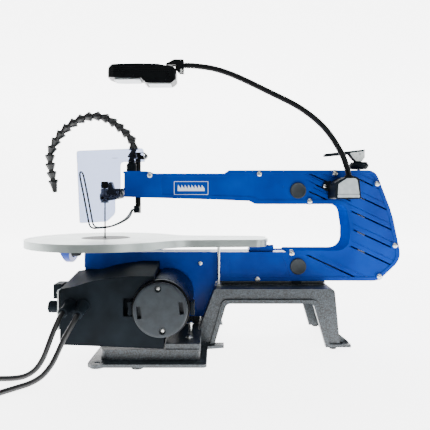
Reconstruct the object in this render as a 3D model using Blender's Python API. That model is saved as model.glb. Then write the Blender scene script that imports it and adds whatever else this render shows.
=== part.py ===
"""Parallel-arm scroll saw: cast base, two-shell C-frame, rocking arms, tilting table, motor, blower hose
and lamp. Metres, +Z up, +X towards the rear of the saw, -Y the motor side. Origin: floor, under the middle."""
import math

import bmesh
import bpy
from mathutils import Matrix, Vector

for leftover in list(bpy.data.objects):
    bpy.data.objects.remove(leftover)

# ---------------------------------------------------------------- driving dimensions
GAP = 0.0003               # clearance between pieces that touch
ARC_STEP = math.radians(18)

FOOT_H = 0.003             # rubber feet under the casting
TABLE_TOP = 0.170
TABLE_R = 0.130
TABLE_PLATE = 0.005
TABLE_RIM_Z = 0.158
TABLE_REAR_X = 0.0975

BLADE_X = -0.1815
BLADE_TOP = 0.2395
BLADE_LENGTH = 0.127
BLADE_HALF_WIDTH = 0.0015
BLADE_HALF_THICK = 0.00025

PIVOT_X = 0.1465
UPPER_PIVOT_Z = 0.2506
ARM_SPACING = 0.126
LOWER_PIVOT_Z = UPPER_PIVOT_Z - ARM_SPACING
UPPER_HOLDER_Z = 0.239
LOWER_HOLDER_Z = UPPER_HOLDER_Z - ARM_SPACING
LINK_X = 0.2565            # rear tension link
LEVER_Z = 0.3135           # pivot of the tension lever
STROKE_ANGLE = math.radians(1.25)

FRAME_HALF = 0.030         # half width of the C-frame
WALL = 0.003
FRAME_FLOOR = 0.1006
FRAME_TOP = 0.2845

MOTOR_X = -0.0675
MOTOR_Z = 0.082
MOTOR_R = 0.041
CRANK = (MOTOR_X - PIVOT_X) * -math.sin(STROKE_ANGLE)   # crank throw that rocks the arms by the stroke angle

POST_X, POST_Y = -0.1265, 0.014
HOSE_Y = -0.010
CONNECTOR_X = -0.1335
GUARD_Y = -0.022

LAMP_Y = -0.052            # gooseneck's foot
NECK_X, NECK_Z = -0.045, 0.4671

CORD_D = 0.007
COIL_R = 0.0385            # middle of a coil's turns
MAINS_COIL = (-0.335, -0.246)
SECOND_COIL = (-0.317, -0.345)


# ---------------------------------------------------------------- materials
def linear(hex_colour):
    channels = [int(hex_colour[i:i + 2], 16) / 255 for i in (1, 3, 5)]
    return [c / 12.92 if c <= 0.04045 else ((c + 0.055) / 1.055) ** 2.4 for c in channels] + [1.0]


def material(name, hex_colour, roughness, metallic=0.0):
    made = bpy.data.materials.new(name)
    made.use_nodes = True
    shader = made.node_tree.nodes["Principled BSDF"]
    shader.inputs["Base Color"].default_value = linear(hex_colour)
    shader.inputs["Roughness"].default_value = roughness
    shader.inputs["Metallic"].default_value = metallic
    return made


CAST_PAINT = material("hammered_black_paint", "#2b3338", 0.45)
BLUE_PAINT = material("blue_paint", "#0b4fae", 0.30)
ALUMINIUM = material("table_aluminium", "#c3ccc9", 0.35, 1.0)
STEEL = material("steel", "#a5a9ab", 0.30, 1.0)
ARM_ALLOY = material("arm_alloy", "#5b6268", 0.45, 1.0)
BLACK_PLASTIC = material("black_plastic", "#26313b", 0.50)
GLOSS_BLACK = material("gloss_black", "#14181b", 0.20)
GREY_PLASTIC = material("grey_plastic", "#b2bdc1", 0.50)
WHITE_PLASTIC = material("white_plastic", "#e4e8e6", 0.50)
RUBBER = material("rubber", "#15181a", 0.70)
CLEAR = material("clear_plastic", "#c5cbdc", 0.10)


# ---------------------------------------------------------------- shape helpers
PLANES = {
    "X": lambda u, v, w: (w, u, v),
    "Y": lambda u, v, w: (u, w, v),
    "Z": lambda u, v, w: (u, v, w),
}


def rounded(corners):
    """Closed outline from (u, v) or (u, v, radius) corners; a radius turns the corner on an arc."""
    points = []
    for index, corner in enumerate(corners):
        here = Vector(corner[:2])
        if len(corner) < 3:
            points.append(here)
            continue
        radius = corner[2]
        back = (Vector(corners[index - 1][:2]) - here).normalized()
        ahead = (Vector(corners[(index + 1) % len(corners)][:2]) - here).normalized()
        half = back.angle(ahead) / 2
        centre = here + (back + ahead).normalized() * radius / math.sin(half)
        first = here + back * radius / math.tan(half) - centre
        turn = math.pi - 2 * half
        if first.y * back.x - first.x * back.y < 0:
            turn = -turn
        steps = max(1, math.ceil(abs(turn) / ARC_STEP))
        for step in range(steps + 1):
            points.append(centre + Matrix.Rotation(turn * step / steps, 2) @ first)
    return points


def inset(corners, distance):
    """The corners moved inwards by distance, with their radii smaller outside bends and larger inside ones."""
    points = [Vector(corner[:2]) for corner in corners]
    area = sum(a.x * b.y - b.x * a.y for a, b in zip(points, points[1:] + points[:1]))
    side = 1 if area > 0 else -1
    moved = []
    for index, here in enumerate(points):
        into = (here - points[index - 1]).normalized()
        away = (points[(index + 1) % len(points)] - here).normalized()
        normal_in = Vector((-into.y, into.x)) * side
        normal_out = Vector((-away.y, away.x)) * side
        middle = normal_in + normal_out
        place = here + middle * distance * 2 / middle.length_squared
        corner = (place.x, place.y)
        if len(corners[index]) > 2:
            convex = (into.x * away.y - into.y * away.x) * side > 0
            radius = corners[index][2] + (-distance if convex else distance)
            if radius > 0.0005:
                corner += (radius,)
        moved.append(corner)
    return moved


def mesh_object(name, form, finish):
    bmesh.ops.recalc_face_normals(form, faces=form.faces)
    mesh = bpy.data.meshes.new(name)
    form.to_mesh(mesh)
    form.free()
    mesh.shade_smooth()
    mesh.set_sharp_from_angle(angle=math.radians(40))
    made = bpy.data.objects.new(name, mesh)
    bpy.context.scene.collection.objects.link(made)
    if finish:
        mesh.materials.append(finish)
    else:
        made.hide_render = True
        made.display_type = "WIRE"
    return made


def loft(name, axis, sections, finish=None):
    """Solid through outlines of equal point count; sections is [(position on axis, outline), ...]."""
    form = bmesh.new()
    rings = []
    for place, outline in sections:
        rings.append([form.verts.new(PLANES[axis](p[0], p[1], place)) for p in outline])
    for low, high in zip(rings, rings[1:]):
        for i in range(len(low)):
            j = (i + 1) % len(low)
            form.faces.new((low[i], low[j], high[j], high[i]))
    form.faces.new(rings[0])
    form.faces.new(rings[-1])
    return mesh_object(name, form, finish)


def prism(name, axis, low, high, corners, finish=None):
    outline = rounded(corners) if isinstance(corners[0], tuple) else corners
    return loft(name, axis, [(low, outline), (high, outline)], finish)


def box(name, low, high, finish=None):
    corners = [(low[0], low[1]), (high[0], low[1]), (high[0], high[1]), (low[0], high[1])]
    return prism(name, "Z", low[2], high[2], corners, finish)


def turned(name, axis, centre, profile, finish=None, sides=24):
    """Solid of revolution. centre is the axis's place in its plane; profile is [(radius, along), ...]
    from end to end, closed through the axis, or round again as a ring if it starts off the axis."""
    form = bmesh.new()
    rings = []
    for radius, along in profile:
        count = sides if radius > 0 else 1
        ring = []
        for side in range(count):
            angle = 2 * math.pi * side / count
            u = centre[0] + radius * math.cos(angle)
            v = centre[1] + radius * math.sin(angle)
            ring.append(form.verts.new(PLANES[axis](u, v, along)))
        rings.append(ring)
    if profile[0][0] > 0:
        rings.append(rings[0])
    for one, two in zip(rings, rings[1:]):
        for side in range(sides):
            nxt = (side + 1) % sides
            corners = [one[side % len(one)], one[nxt % len(one)], two[nxt % len(two)], two[side % len(two)]]
            kept = [c for i, c in enumerate(corners) if c not in corners[:i]]
            form.faces.new(kept)
    return mesh_object(name, form, finish)


def rod(name, axis, centre, radius, low, high, finish=None, sides=24):
    return turned(name, axis, centre, [(0, low), (radius, low), (radius, high), (0, high)], finish, sides)


def combine(target, operation, tools):
    for tool in tools:
        step = target.modifiers.new(f"{operation.lower()}_{tool.name}", "BOOLEAN")
        step.operation = operation
        step.solver = "EXACT"
        step.object = tool
        tool.hide_render = True
        tool.display_type = "WIRE"
    return target


def cut(target, *tools):
    return combine(target, "DIFFERENCE", tools)


def join(target, *tools):
    return combine(target, "UNION", tools)


def smooth_route(points, count):
    """Evenly spaced points on the Catmull-Rom curve through the route's own points."""
    nodes = [Vector(p) for p in points]
    nodes = [2 * nodes[0] - nodes[1]] + nodes + [2 * nodes[-1] - nodes[-2]]
    fine = []
    for a, b, c, d in zip(nodes, nodes[1:], nodes[2:], nodes[3:]):
        for step in range(24):
            t = step / 24
            fine.append(0.5 * (2 * b + (c - a) * t + (2 * a - 5 * b + 4 * c - d) * t ** 2
                               + (3 * b - a - 3 * c + d) * t ** 3))
    fine.append(nodes[-2])
    lengths = [0.0]
    for one, two in zip(fine, fine[1:]):
        lengths.append(lengths[-1] + (two - one).length)
    evened = []
    at = 0
    for step in range(count):
        wanted = lengths[-1] * step / (count - 1)
        while at < len(fine) - 2 and lengths[at + 1] < wanted:
            at += 1
        part = (wanted - lengths[at]) / (lengths[at + 1] - lengths[at])
        evened.append(fine[at].lerp(fine[at + 1], min(part, 1.0)))
    return evened


def tube(name, points, radius, finish, resolution=2, swell=None):
    """Round tube along points; swell gives each point's share of the radius."""
    curve = bpy.data.curves.new(name, "CURVE")
    curve.dimensions = "3D"
    curve.bevel_depth = radius
    curve.bevel_resolution = resolution
    curve.use_fill_caps = True
    spline = curve.splines.new("POLY")
    spline.points.add(len(points) - 1)
    for index, point in enumerate(points):
        spline.points[index].co = (*point, 1)
        spline.points[index].radius = swell[index] if swell else 1.0
    curve.materials.append(finish)
    made = bpy.data.objects.new(name, curve)
    bpy.context.scene.collection.objects.link(made)
    return made


def joint_frame(name, place, parent, pieces):
    """An empty on a joint's axis, carrying the pieces that move on it."""
    frame = bpy.data.objects.new(name, None)
    frame.empty_display_size = 0.02
    bpy.context.scene.collection.objects.link(frame)
    place = Vector(place)
    frame.location = place - (Vector(parent["place"]) if parent else Vector())
    frame.parent = parent
    frame["place"] = list(place)
    for piece in pieces:
        piece.data.transform(Matrix.Translation(-place))
        piece.parent = frame
        for step in piece.modifiers:
            if step.type == "BOOLEAN" and step.object.parent is None:
                step.object.data.transform(Matrix.Translation(-place))
                step.object.parent = frame
    return frame


# ---------------------------------------------------------------- base
def base_casting():
    floor, flange_top = FOOT_H, FOOT_H + 0.0045
    deck = 0.0225
    beam_top, beam_low = 0.094, 0.0715
    flange = [(-0.1695, -0.160, 0.008), (-0.003, -0.160, 0.006), (-0.003, -0.080), (0.0225, -0.074),
              (0.0225, 0.074), (-0.003, 0.080), (-0.003, 0.160, 0.006), (-0.1695, 0.160, 0.008)]
    base = prism("base_casting", "Z", floor, flange_top, flange, CAST_PAINT)
    front = prism("base_front", "Z", floor, deck, [(-0.156, -0.142, 0.012), (-0.013, -0.142, 0.004),
                                                    (-0.013, 0.142, 0.004), (-0.156, 0.142, 0.012)])
    arch = [(-0.016, floor), (-0.016, 0.031), (0.008, beam_top, 0.004), (0.198, beam_top, 0.006),
            (0.2065, floor), (0.1835, floor), (0.1635, beam_low, 0.008), (0.0265, beam_low, 0.008),
            (0.0065, floor)]
    beam = prism("base_beam", "Y", -0.067, 0.067, arch)
    rim_inner = [(0.0065, floor), (0.0265, beam_low, 0.008), (0.1635, beam_low, 0.008), (0.1835, floor)]
    rim_outer = [(0.1905, floor), (0.1695, beam_low + 0.006, 0.010), (0.0205, beam_low + 0.006, 0.010),
                 (-0.0005, floor)]
    rim = prism("base_arch_rim", "Y", -0.071, 0.071, rim_inner + rim_outer)
    feet = []
    for side in (-1, 1):
        feet.append(prism(f"base_rear_flange_{side}", "Z", floor, flange_top,
                          [(0.183, side * 0.045), (0.2225, side * 0.045), (0.2225, side * 0.071),
                           (0.183, side * 0.071)]))
        feet.append(prism(f"base_rear_gusset_{side}", "Y", side * 0.054, side * 0.060,
                          [(0.198, flange_top - 0.001), (0.2215, flange_top - 0.001), (0.2215, 0.009),
                           (0.200, 0.026)]))
        feet.append(rod(f"base_front_boss_{side}", "Z", (-0.1555, side * 0.154), 0.011, floor, 0.0085))
    shoulder = box("base_shoulder", (-0.062, -0.140, deck - 0.004), (-0.013, 0.140, 0.0300))
    pad = box("base_pad", (-0.056, -0.028, deck - 0.002), (-0.018, 0.028, 0.0417))
    join(base, front, beam, rim, *feet, shoulder, pad)
    hollow_front = box("base_hollow_front", (-0.150, -0.136, -0.01), (-0.019, 0.136, deck - 0.006))
    hollow_rear = prism("base_hollow_rear", "Y", -0.060, 0.060,
                        [(-0.006, -0.01), (-0.006, 0.030), (0.012, beam_top - 0.007),
                         (0.192, beam_top - 0.007), (0.200, -0.01)])
    apron_space = prism("base_apron_space", "Y", -0.0310, 0.0310,
                        [(-0.040, 0.0417), (-0.0085, 0.0417), (0.0112, 0.1015), (-0.040, 0.1015)])
    holes = [apron_space]
    for side in (-1, 1):
        holes.append(rod(f"base_front_hole_{side}", "Z", (-0.1555, side * 0.154), 0.004, -0.01, 0.02, sides=16))
        holes.append(rod(f"base_rear_hole_{side}", "Z", (0.2145, side * 0.062), 0.004, -0.01, 0.02, sides=16))
    return cut(base, hollow_front, hollow_rear, *holes)


def rubber_feet():
    places = {"foot_front_near": (-0.100, -0.151), "foot_front_far": (-0.100, 0.151),
              "foot_rear_near": (0.1950, -0.0655), "foot_rear_far": (0.1950, 0.0655)}
    for name, centre in places.items():
        radius = 0.0085 if "front" in name else 0.0055
        rod(name, "Z", centre, radius, 0.0, FOOT_H - GAP, RUBBER, sides=20)


def mounting_plate():
    """Flat bar that lifts the frame off the casting's beam."""
    box("mounting_plate", (0.012, -0.0325, 0.094 + GAP), (0.191, 0.0325, FRAME_FLOOR - GAP), CAST_PAINT)


# ---------------------------------------------------------------- C-frame
FRAME_OUTLINE = [
    (-0.1455, 0.240, 0.002), (-0.1455, 0.283, 0.003), (-0.1055, 0.283), (-0.0925, 0.279), (0.024, 0.279),
    (0.0315, FRAME_TOP), (0.275, FRAME_TOP, 0.018), (0.303, 0.212, 0.120), (0.3185, 0.137, 0.028),
    (0.280, FRAME_FLOOR, 0.022), (0.010, FRAME_FLOOR, 0.003), (-0.0095, 0.042), (-0.120, 0.042),
    (-0.2075, 0.096), (-0.2075, 0.1485, 0.002), (0.1265, 0.1485), (0.129, 0.151), (0.229, 0.151, 0.020),
    (0.2335, 0.180, 0.060), (0.226, 0.228, 0.016), (0.0795, 0.228), (0.0695, 0.233), (0.0085, 0.2355)]


def frame_shell(name, side):
    inner = inset(FRAME_OUTLINE, WALL)
    low, high = sorted((side * GAP / 2, side * FRAME_HALF))
    shell = prism(name, "Y", low, high, FRAME_OUTLINE, BLUE_PAINT)
    hollow_half = side * (FRAME_HALF - WALL)
    low, high = sorted((-side * 0.001, hollow_half))
    cutters = []
    if side < 0:
        cutters.append(prism(f"{name}_hollow", "Y", low, high, inner))
    else:
        # The far side steps in under the table, so that the table can tilt past it.
        step_y, step_z = 0.020, 0.122
        slab = box(f"{name}_step", (-0.215, step_y, step_z), (0.112, 0.040, 0.160))
        chamfer = prism(f"{name}_chamfer", "X", -0.215, 0.112,
                        [(0.0115, 0.1495), (0.0215, 0.1395), (0.0400, 0.1395), (0.0400, 0.160), (0.0115, 0.160)])
        cut(shell, slab, chamfer)
        hollow = prism(f"{name}_hollow", "Y", -0.001, hollow_half, inner)
        keep_step = box(f"{name}_keep_step", (-0.220, step_y - WALL, step_z - WALL), (0.115, 0.050, 0.160))
        keep_chamfer = prism(f"{name}_keep_chamfer", "X", -0.220, 0.115,
                             [(0.0085, 0.1460), (0.0185, 0.1360), (0.0500, 0.1360), (0.0500, 0.160),
                              (0.0085, 0.160)])
        cutters.append(cut(hollow, keep_step, keep_chamfer))
    cutters.append(box(f"{name}_nose", (-0.150, min(0, side * 0.027) - 0.0005, 0.243),
                       (-0.140, max(0, side * 0.027) + 0.0005, 0.280)))
    cutters.append(rod(f"{name}_blade_hole", "Z", (BLADE_X, 0), 0.005, 0.140, 0.155, sides=20))
    cutters.append(rod(f"{name}_link_hole", "Z", (LINK_X, 0), 0.006, 0.276, 0.290, sides=20))
    for height in (UPPER_PIVOT_Z, LOWER_PIVOT_Z):
        cutters.append(rod(f"{name}_pin_{height}", "Y", (PIVOT_X, height), 0.005 + GAP, side * 0.020,
                           side * 0.035))
    if side < 0:
        cutters.append(rod("near_shaft_hole", "Y", (MOTOR_X, MOTOR_Z), 0.008, -0.035, -0.020))
        cutters.append(rod("near_hose_hole", "Z", (CONNECTOR_X, HOSE_Y), 0.005, 0.276, 0.290, sides=16))
    else:
        cutters.append(rod("far_post_hole", "Z", (POST_X, POST_Y), 0.005 + GAP, 0.235, 0.290))
    return cut(shell, *cutters)


def pivot_pin(name, height):
    """Pivot bolt with a round cap on the motor side."""
    turned(name, "Y", (PIVOT_X, height),
           [(0, -0.0325), (0.0110, -0.0325), (0.0133, -0.0310), (0.0133, -FRAME_HALF - GAP),
            (0.005, -FRAME_HALF - GAP), (0.005, FRAME_HALF + GAP), (0.008, FRAME_HALF + GAP),
            (0.008, 0.0335), (0, 0.0335)], GLOSS_BLACK)


# ---------------------------------------------------------------- rocking arms and blade
def arm(name, corners, holder_z, pivot_z):
    bar = prism(name, "Y", -0.008, 0.008, corners, ARM_ALLOY)
    fork = box(f"{name}_fork", (BLADE_X - 0.010, -0.0044, holder_z - 0.030),
               (BLADE_X + 0.0065, 0.0044, holder_z + 0.040))
    holder_hole = rod(f"{name}_holder_hole", "Y", (BLADE_X, holder_z), 0.003 + GAP, -0.010, 0.010, sides=16)
    pivot_hole = rod(f"{name}_pivot_hole", "Y", (PIVOT_X, pivot_z), 0.005 + GAP, -0.010, 0.010)
    link_hole = rod(f"{name}_link_hole", "Y", (LINK_X, pivot_z), 0.003 + GAP, -0.010, 0.010, sides=16)
    return cut(bar, fork, holder_hole, pivot_hole, link_hole)


def upper_arm():
    corners = [(-0.1885, 0.2335, 0.003), (-0.1885, 0.2460, 0.003), (-0.1745, 0.2500), (-0.1725, 0.2660, 0.002),
               (-0.1688, 0.2660, 0.001), (-0.1650, 0.2545), (-0.1480, 0.2545), (-0.1400, 0.2670),
               (0.130, 0.2640), (0.1465, 0.2655, 0.012),
               (0.2630, 0.2570, 0.004), (0.2630, 0.2440, 0.004), (0.1465, 0.2365, 0.012), (0.120, 0.2410),
               (-0.140, 0.2500), (-0.1500, 0.2500), (-0.1500, 0.2380), (-0.1760, 0.2335)]
    return arm("upper_arm", corners, UPPER_HOLDER_Z, UPPER_PIVOT_Z)


def lower_arm():
    corners = [(-0.1885, 0.1070, 0.003), (-0.1885, 0.1190, 0.003), (-0.1740, 0.1220), (0.110, 0.1340),
               (0.1465, 0.1395, 0.012), (0.2630, 0.1310, 0.004), (0.2630, 0.1180, 0.004),
               (0.1465, 0.1100, 0.012), (0.110, 0.1140), (-0.1740, 0.1050)]
    return arm("lower_arm", corners, LOWER_HOLDER_Z, LOWER_PIVOT_Z)


def blade_holder(name, low, high, pin_z, slot_low, slot_high):
    """Clamp block that swings in the arm's fork on two stub pins, with a slot for the blade."""
    block = box(name, (BLADE_X - 0.006, -0.004, low), (BLADE_X + 0.006, 0.004, high), STEEL)
    pins = rod(f"{name}_pins", "Y", (BLADE_X, pin_z), 0.003, -0.0078, 0.0078, sides=16)
    slot = box(f"{name}_slot", (BLADE_X - BLADE_HALF_WIDTH - GAP, -BLADE_HALF_THICK - GAP, slot_low),
               (BLADE_X + BLADE_HALF_WIDTH + GAP, BLADE_HALF_THICK + GAP, slot_high))
    return cut(join(block, pins), slot)


def blade():
    box_low = (BLADE_X - BLADE_HALF_WIDTH, -BLADE_HALF_THICK, BLADE_TOP - BLADE_LENGTH)
    box_high = (BLADE_X + BLADE_HALF_WIDTH, BLADE_HALF_THICK, BLADE_TOP)
    return box("blade", box_low, box_high, STEEL)


def thumb_screw_upper():
    return turned("thumb_screw_upper", "Z", (BLADE_X, 0),
                  [(0, 0.2470), (0.0020, 0.2470), (0.0020, 0.2550), (0.0065, 0.2550), (0.0065, 0.2650),
                   (0.0055, 0.2665), (0, 0.2665)], BLACK_PLASTIC, sides=20)


def thumb_screw_lower():
    return turned("thumb_screw_lower", "X", (0, 0.1185),
                  [(0, -0.1840), (0.0020, -0.1840), (0.0020, -0.1895), (0.0055, -0.1895), (0.0055, -0.1975),
                   (0.0045, -0.1990), (0, -0.1990)], BLACK_PLASTIC, sides=16)


def rear_link():
    """Strap beside the arms' tails, with a pin through each, and the threaded rod of the tension knob."""
    strap = box("rear_link", (LINK_X - 0.006, -0.0135, 0.1170), (LINK_X + 0.006, -0.0095, 0.2700), STEEL)
    lug = box("link_lug", (LINK_X - 0.006, -0.0110, 0.2640), (LINK_X + 0.006, 0.0050, 0.2700))
    pins = [rod(f"link_pin_{z}", "Y", (LINK_X, z), 0.003, -0.0110, 0.0105, sides=16)
            for z in (UPPER_PIVOT_Z, LOWER_PIVOT_Z)]
    stem = rod("link_stem", "Z", (LINK_X, 0), 0.003, 0.2680, LEVER_Z, sides=16)
    eye = rod("link_eye", "Y", (LINK_X, LEVER_Z), 0.0037, -0.0036, 0.0036, sides=16)
    lever_pin = rod("link_lever_pin", "Y", (LINK_X, LEVER_Z), 0.0020, -0.0072, 0.0072, sides=16)
    return join(strap, lug, *pins, stem, eye, lever_pin)


def tension_knob():
    return turned("tension_knob", "Z", (LINK_X, 0),
                  [(0.003 + GAP, 0.2880), (0.0130, 0.2880), (0.0150, 0.2900), (0.0165, 0.2935),
                   (0.0160, 0.2970), (0.0140, 0.2985), (0.0140, 0.2998), (0.003 + GAP, 0.2998)],
                  RUBBER, sides=28)


def tension_lever():
    cam = [(0.2365, 0.3165), (0.2440, 0.3060, 0.002), (0.2500, 0.3004, 0.003), (0.2600, 0.3004, 0.005),
           (0.2655, 0.3080, 0.003), (0.2650, 0.3205), (0.2560, 0.3190)]
    lever = prism("tension_lever", "Y", -0.0066, 0.0066, cam, STEEL)
    handle = prism("lever_handle", "Y", -0.0066, 0.0066,
                   [(0.1965, 0.3095, 0.001), (0.1970, 0.3140, 0.001), (0.2640, 0.3215), (0.2640, 0.3185),
                    (0.2500, 0.3170), (0.2350, 0.3130)])
    gap_cut = prism("lever_gap", "Y", -0.0042, 0.0042,
                    [(0.2450, 0.2950), (0.2700, 0.2950), (0.2700, 0.3188), (0.2450, 0.3168)])
    pin_hole = rod("lever_pin_hole", "Y", (LINK_X, LEVER_Z), 0.0020 + GAP, -0.010, 0.010, sides=16)
    return cut(join(lever, handle), gap_cut, pin_hole)


# ---------------------------------------------------------------- motor and drive
def motor_housing():
    rear, inner = -0.150, MOTOR_R - 0.004
    profile = [(inner, rear), (MOTOR_R, rear), (MOTOR_R, -0.036), (0.036, -FRAME_HALF - GAP),
               (0.006, -FRAME_HALF - GAP), (0.006, -0.037), (inner, -0.037)]
    can = turned("motor_housing", "Y", (MOTOR_X, MOTOR_Z), profile, GLOSS_BLACK, sides=40)
    brushes = [box("brush_holder_rear", (MOTOR_X + 0.0385, -0.148, 0.072), (MOTOR_X + 0.0470, -0.130, 0.092)),
               box("brush_holder_front", (MOTOR_X - 0.0470, -0.148, 0.072), (MOTOR_X - 0.0385, -0.130, 0.092))]
    return join(can, *brushes)


def motor_end_cap():
    cap = turned("motor_end_cap", "Y", (MOTOR_X, MOTOR_Z),
                 [(0, -0.160), (0.0365, -0.160), (0.0380, -0.1585), (0.0380, -0.150 - GAP), (0, -0.150 - GAP)],
                 BLACK_PLASTIC, sides=40)
    turn = Matrix.Rotation(math.radians(6), 2)
    slots = []
    for side in (-1, 1):
        centre = Vector((MOTOR_X, MOTOR_Z)) + turn @ Vector((side * 0.0295, 0))
        corners = [centre + turn @ Vector(corner) for corner in
                   ((-0.0030, -0.0085), (0.0030, -0.0085), (0.0030, 0.0085), (-0.0030, 0.0085))]
        slots.append(prism(f"cap_slot_{side}", "Y", -0.165, -0.145, corners))
    return cut(cap, *slots)


def motor_rotor():
    """Shaft with the rotor core, and the crank disc and crank pin that drive the connecting rod."""
    rotor = turned("motor_rotor", "Y", (MOTOR_X, MOTOR_Z),
                   [(0, -0.1480), (0.004, -0.1480), (0.004, -0.1300), (0.028, -0.1300), (0.028, -0.0600),
                    (0.004, -0.0600), (0.004, -0.0260), (0.012, -0.0260), (0.012, -0.0205), (0, -0.0205)],
                   STEEL, sides=28)
    pin = rod("crank_pin", "Y", (MOTOR_X + CRANK, MOTOR_Z), 0.003, -0.0215, -0.0132, sides=16)
    return join(rotor, pin)


def connecting_rod():
    big = (MOTOR_X + CRANK, MOTOR_Z)
    small = (MOTOR_X + CRANK, 0.1180)
    body = rod("connecting_rod", "Y", big, 0.0080, -0.0190, -0.0145, ARM_ALLOY)
    web = box("rod_web", (big[0] - 0.004, -0.0190, big[1]), (big[0] + 0.004, -0.0145, small[1]))
    eye = rod("rod_small_end", "Y", small, 0.0065, -0.0190, -0.0145)
    wrist = rod("rod_wrist_pin", "Y", small, 0.0030, -0.0180, -0.0086, sides=16)
    bore = rod("rod_bore", "Y", big, 0.003 + GAP, -0.0250, -0.0100, sides=16)
    return cut(join(body, web, eye, wrist), bore)


# ---------------------------------------------------------------- control box, panel and leads
def control_box():
    near = [(-0.2125, 0.0285), (-0.2125, 0.1076), (-0.1914, 0.1117), (-0.1704, 0.1184), (-0.1366, 0.1241),
            (-0.1097, 0.1261), (-0.0786, 0.1261), (-0.0786, MOTOR_Z), (-0.0646, MOTOR_Z), (-0.0646, 0.0230)]
    far = [(-0.2175, 0.0400), (-0.2175, 0.1180), (-0.2000, 0.1206), (-0.1785, 0.1206), (-0.1515, 0.1288),
           (-0.1100, 0.1345), (-0.0828, 0.1340), (-0.0828, MOTOR_Z), (-0.0646, MOTOR_Z), (-0.0646, 0.0400)]
    near_y, far_y, wall = -0.140, -0.032, 0.0025
    housing = loft("control_box", "Y", [(near_y, near), (far_y, far)], BLACK_PLASTIC)
    near_in = inset(near, wall)
    far_in = inset(far, wall)
    hollow = loft("control_box_hollow", "Y", [(near_y + wall, near_in), (far_y + 0.002, far_in)])
    motor_space = rod("control_box_motor_space", "Y", (MOTOR_X, MOTOR_Z), MOTOR_R + 0.0007, -0.150, -0.020,
                      sides=40)
    brush_space = box("control_box_brush_space", (-0.1225, -0.150, 0.069), (-0.1000, -0.126, 0.095))
    return cut(housing, hollow, motor_space, brush_space)


def control_panel():
    box("control_panel", (-0.2205, -0.128, 0.046), (-0.2180, -0.050, 0.104), ALUMINIUM)


def power_switch():
    """Switch surround on the panel, and the rocker that tips in it."""
    surround = box("switch_body", (-0.2345, -0.104, 0.0865), (-0.2205 - GAP, -0.076, 0.1085), BLACK_PLASTIC)
    pocket = box("switch_pocket", (-0.2400, -0.099, 0.0900), (-0.2260, -0.081, 0.1050))
    cut(surround, pocket)
    rocker = prism("power_rocker", "Y", -0.0985, -0.0815,
                   [(-0.2270, 0.0925), (-0.2355, 0.0915), (-0.2340, 0.0975), (-0.2355, 0.1035),
                    (-0.2270, 0.1025)], RUBBER)
    return rocker


def speed_knob():
    return turned("speed_knob", "X", (-0.100, 0.074),
                  [(0, -0.2415), (0.0080, -0.2415), (0.0090, -0.2400), (0.0090, -0.2285), (0.0110, -0.2275),
                   (0.0110, -0.2240), (0.0030, -0.2240), (0.0030, -0.2205 - GAP), (0, -0.2205 - GAP)],
                  GLOSS_BLACK, sides=24)


MAINS_EXIT = Vector((-0.2005, -0.1650, 0.0800))
SECOND_EXIT = Vector((-0.1801, -0.1650, 0.0770))
MAINS_ROUTE = [MAINS_EXIT, (-0.2012, -0.1725, 0.0770), (-0.2040, -0.1812, 0.0670), (-0.2080, -0.1868, 0.0540),
               (-0.2122, -0.1905, 0.0400), (-0.2175, -0.1932, 0.0260), (-0.2262, -0.1955, 0.0135),
               (-0.2385, -0.1972, 0.0060), (-0.2530, -0.1985, 0.0036), (-0.2720, -0.1998, 0.0035),
               (-0.3000, -0.2008, 0.0035), (-0.3095, -0.2012, 0.0035)]
SECOND_ROUTE = [SECOND_EXIT, (-0.1804, -0.1722, 0.0742), (-0.1832, -0.1790, 0.0672), (-0.1878, -0.1842, 0.0580),
                (-0.1935, -0.1885, 0.0460), (-0.1985, -0.1930, 0.0330), (-0.2045, -0.1990, 0.0200),
                (-0.2130, -0.2070, 0.0095), (-0.2240, -0.2170, 0.0045), (-0.2370, -0.2295, 0.0035),
                (-0.2520, -0.2470, 0.0035), (-0.2660, -0.2710, 0.0035), (-0.2735, -0.2980, 0.0035),
                (-0.2750, -0.3205, 0.0035)]


def cord_gland(name, root, tip):
    axis = (tip - root).normalized()
    length = (tip - root).length
    points = [root + axis * length * share for share in (0, 0.15, 0.16, 0.5, 1)]
    return tube(name, points, 0.0065, RUBBER, 3, [1.0, 1.0, 0.92, 0.85, 0.72])


def leads():
    """Two leads: each leaves its gland, drops to the floor and ends in a coil with its plug on top."""
    cord_gland("cord_gland_mains", Vector((-0.1975, -0.1420, 0.0846)), MAINS_EXIT + Vector((0, 0.0009, 0.0002)))
    cord_gland("cord_gland_second", Vector((-0.1795, -0.1422, 0.0840)), SECOND_EXIT + Vector((0, 0.0009, 0.0002)))
    tube("mains_lead", smooth_route(MAINS_ROUTE, 24), CORD_D / 2, RUBBER)
    tube("second_lead", smooth_route(SECOND_ROUTE, 28), CORD_D / 2, RUBBER)
    rows = {"mains_coil": (MAINS_COIL, 3, 2), "second_coil": (SECOND_COIL, 2, 1)}
    for name, (centre, wide, high) in rows.items():
        inner, outer = COIL_R - wide * CORD_D / 2, COIL_R + wide * CORD_D / 2
        turned(name, "Z", centre, [(inner, 0), (outer, 0), (outer, high * CORD_D), (inner, high * CORD_D)],
               RUBBER, sides=32)


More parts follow.
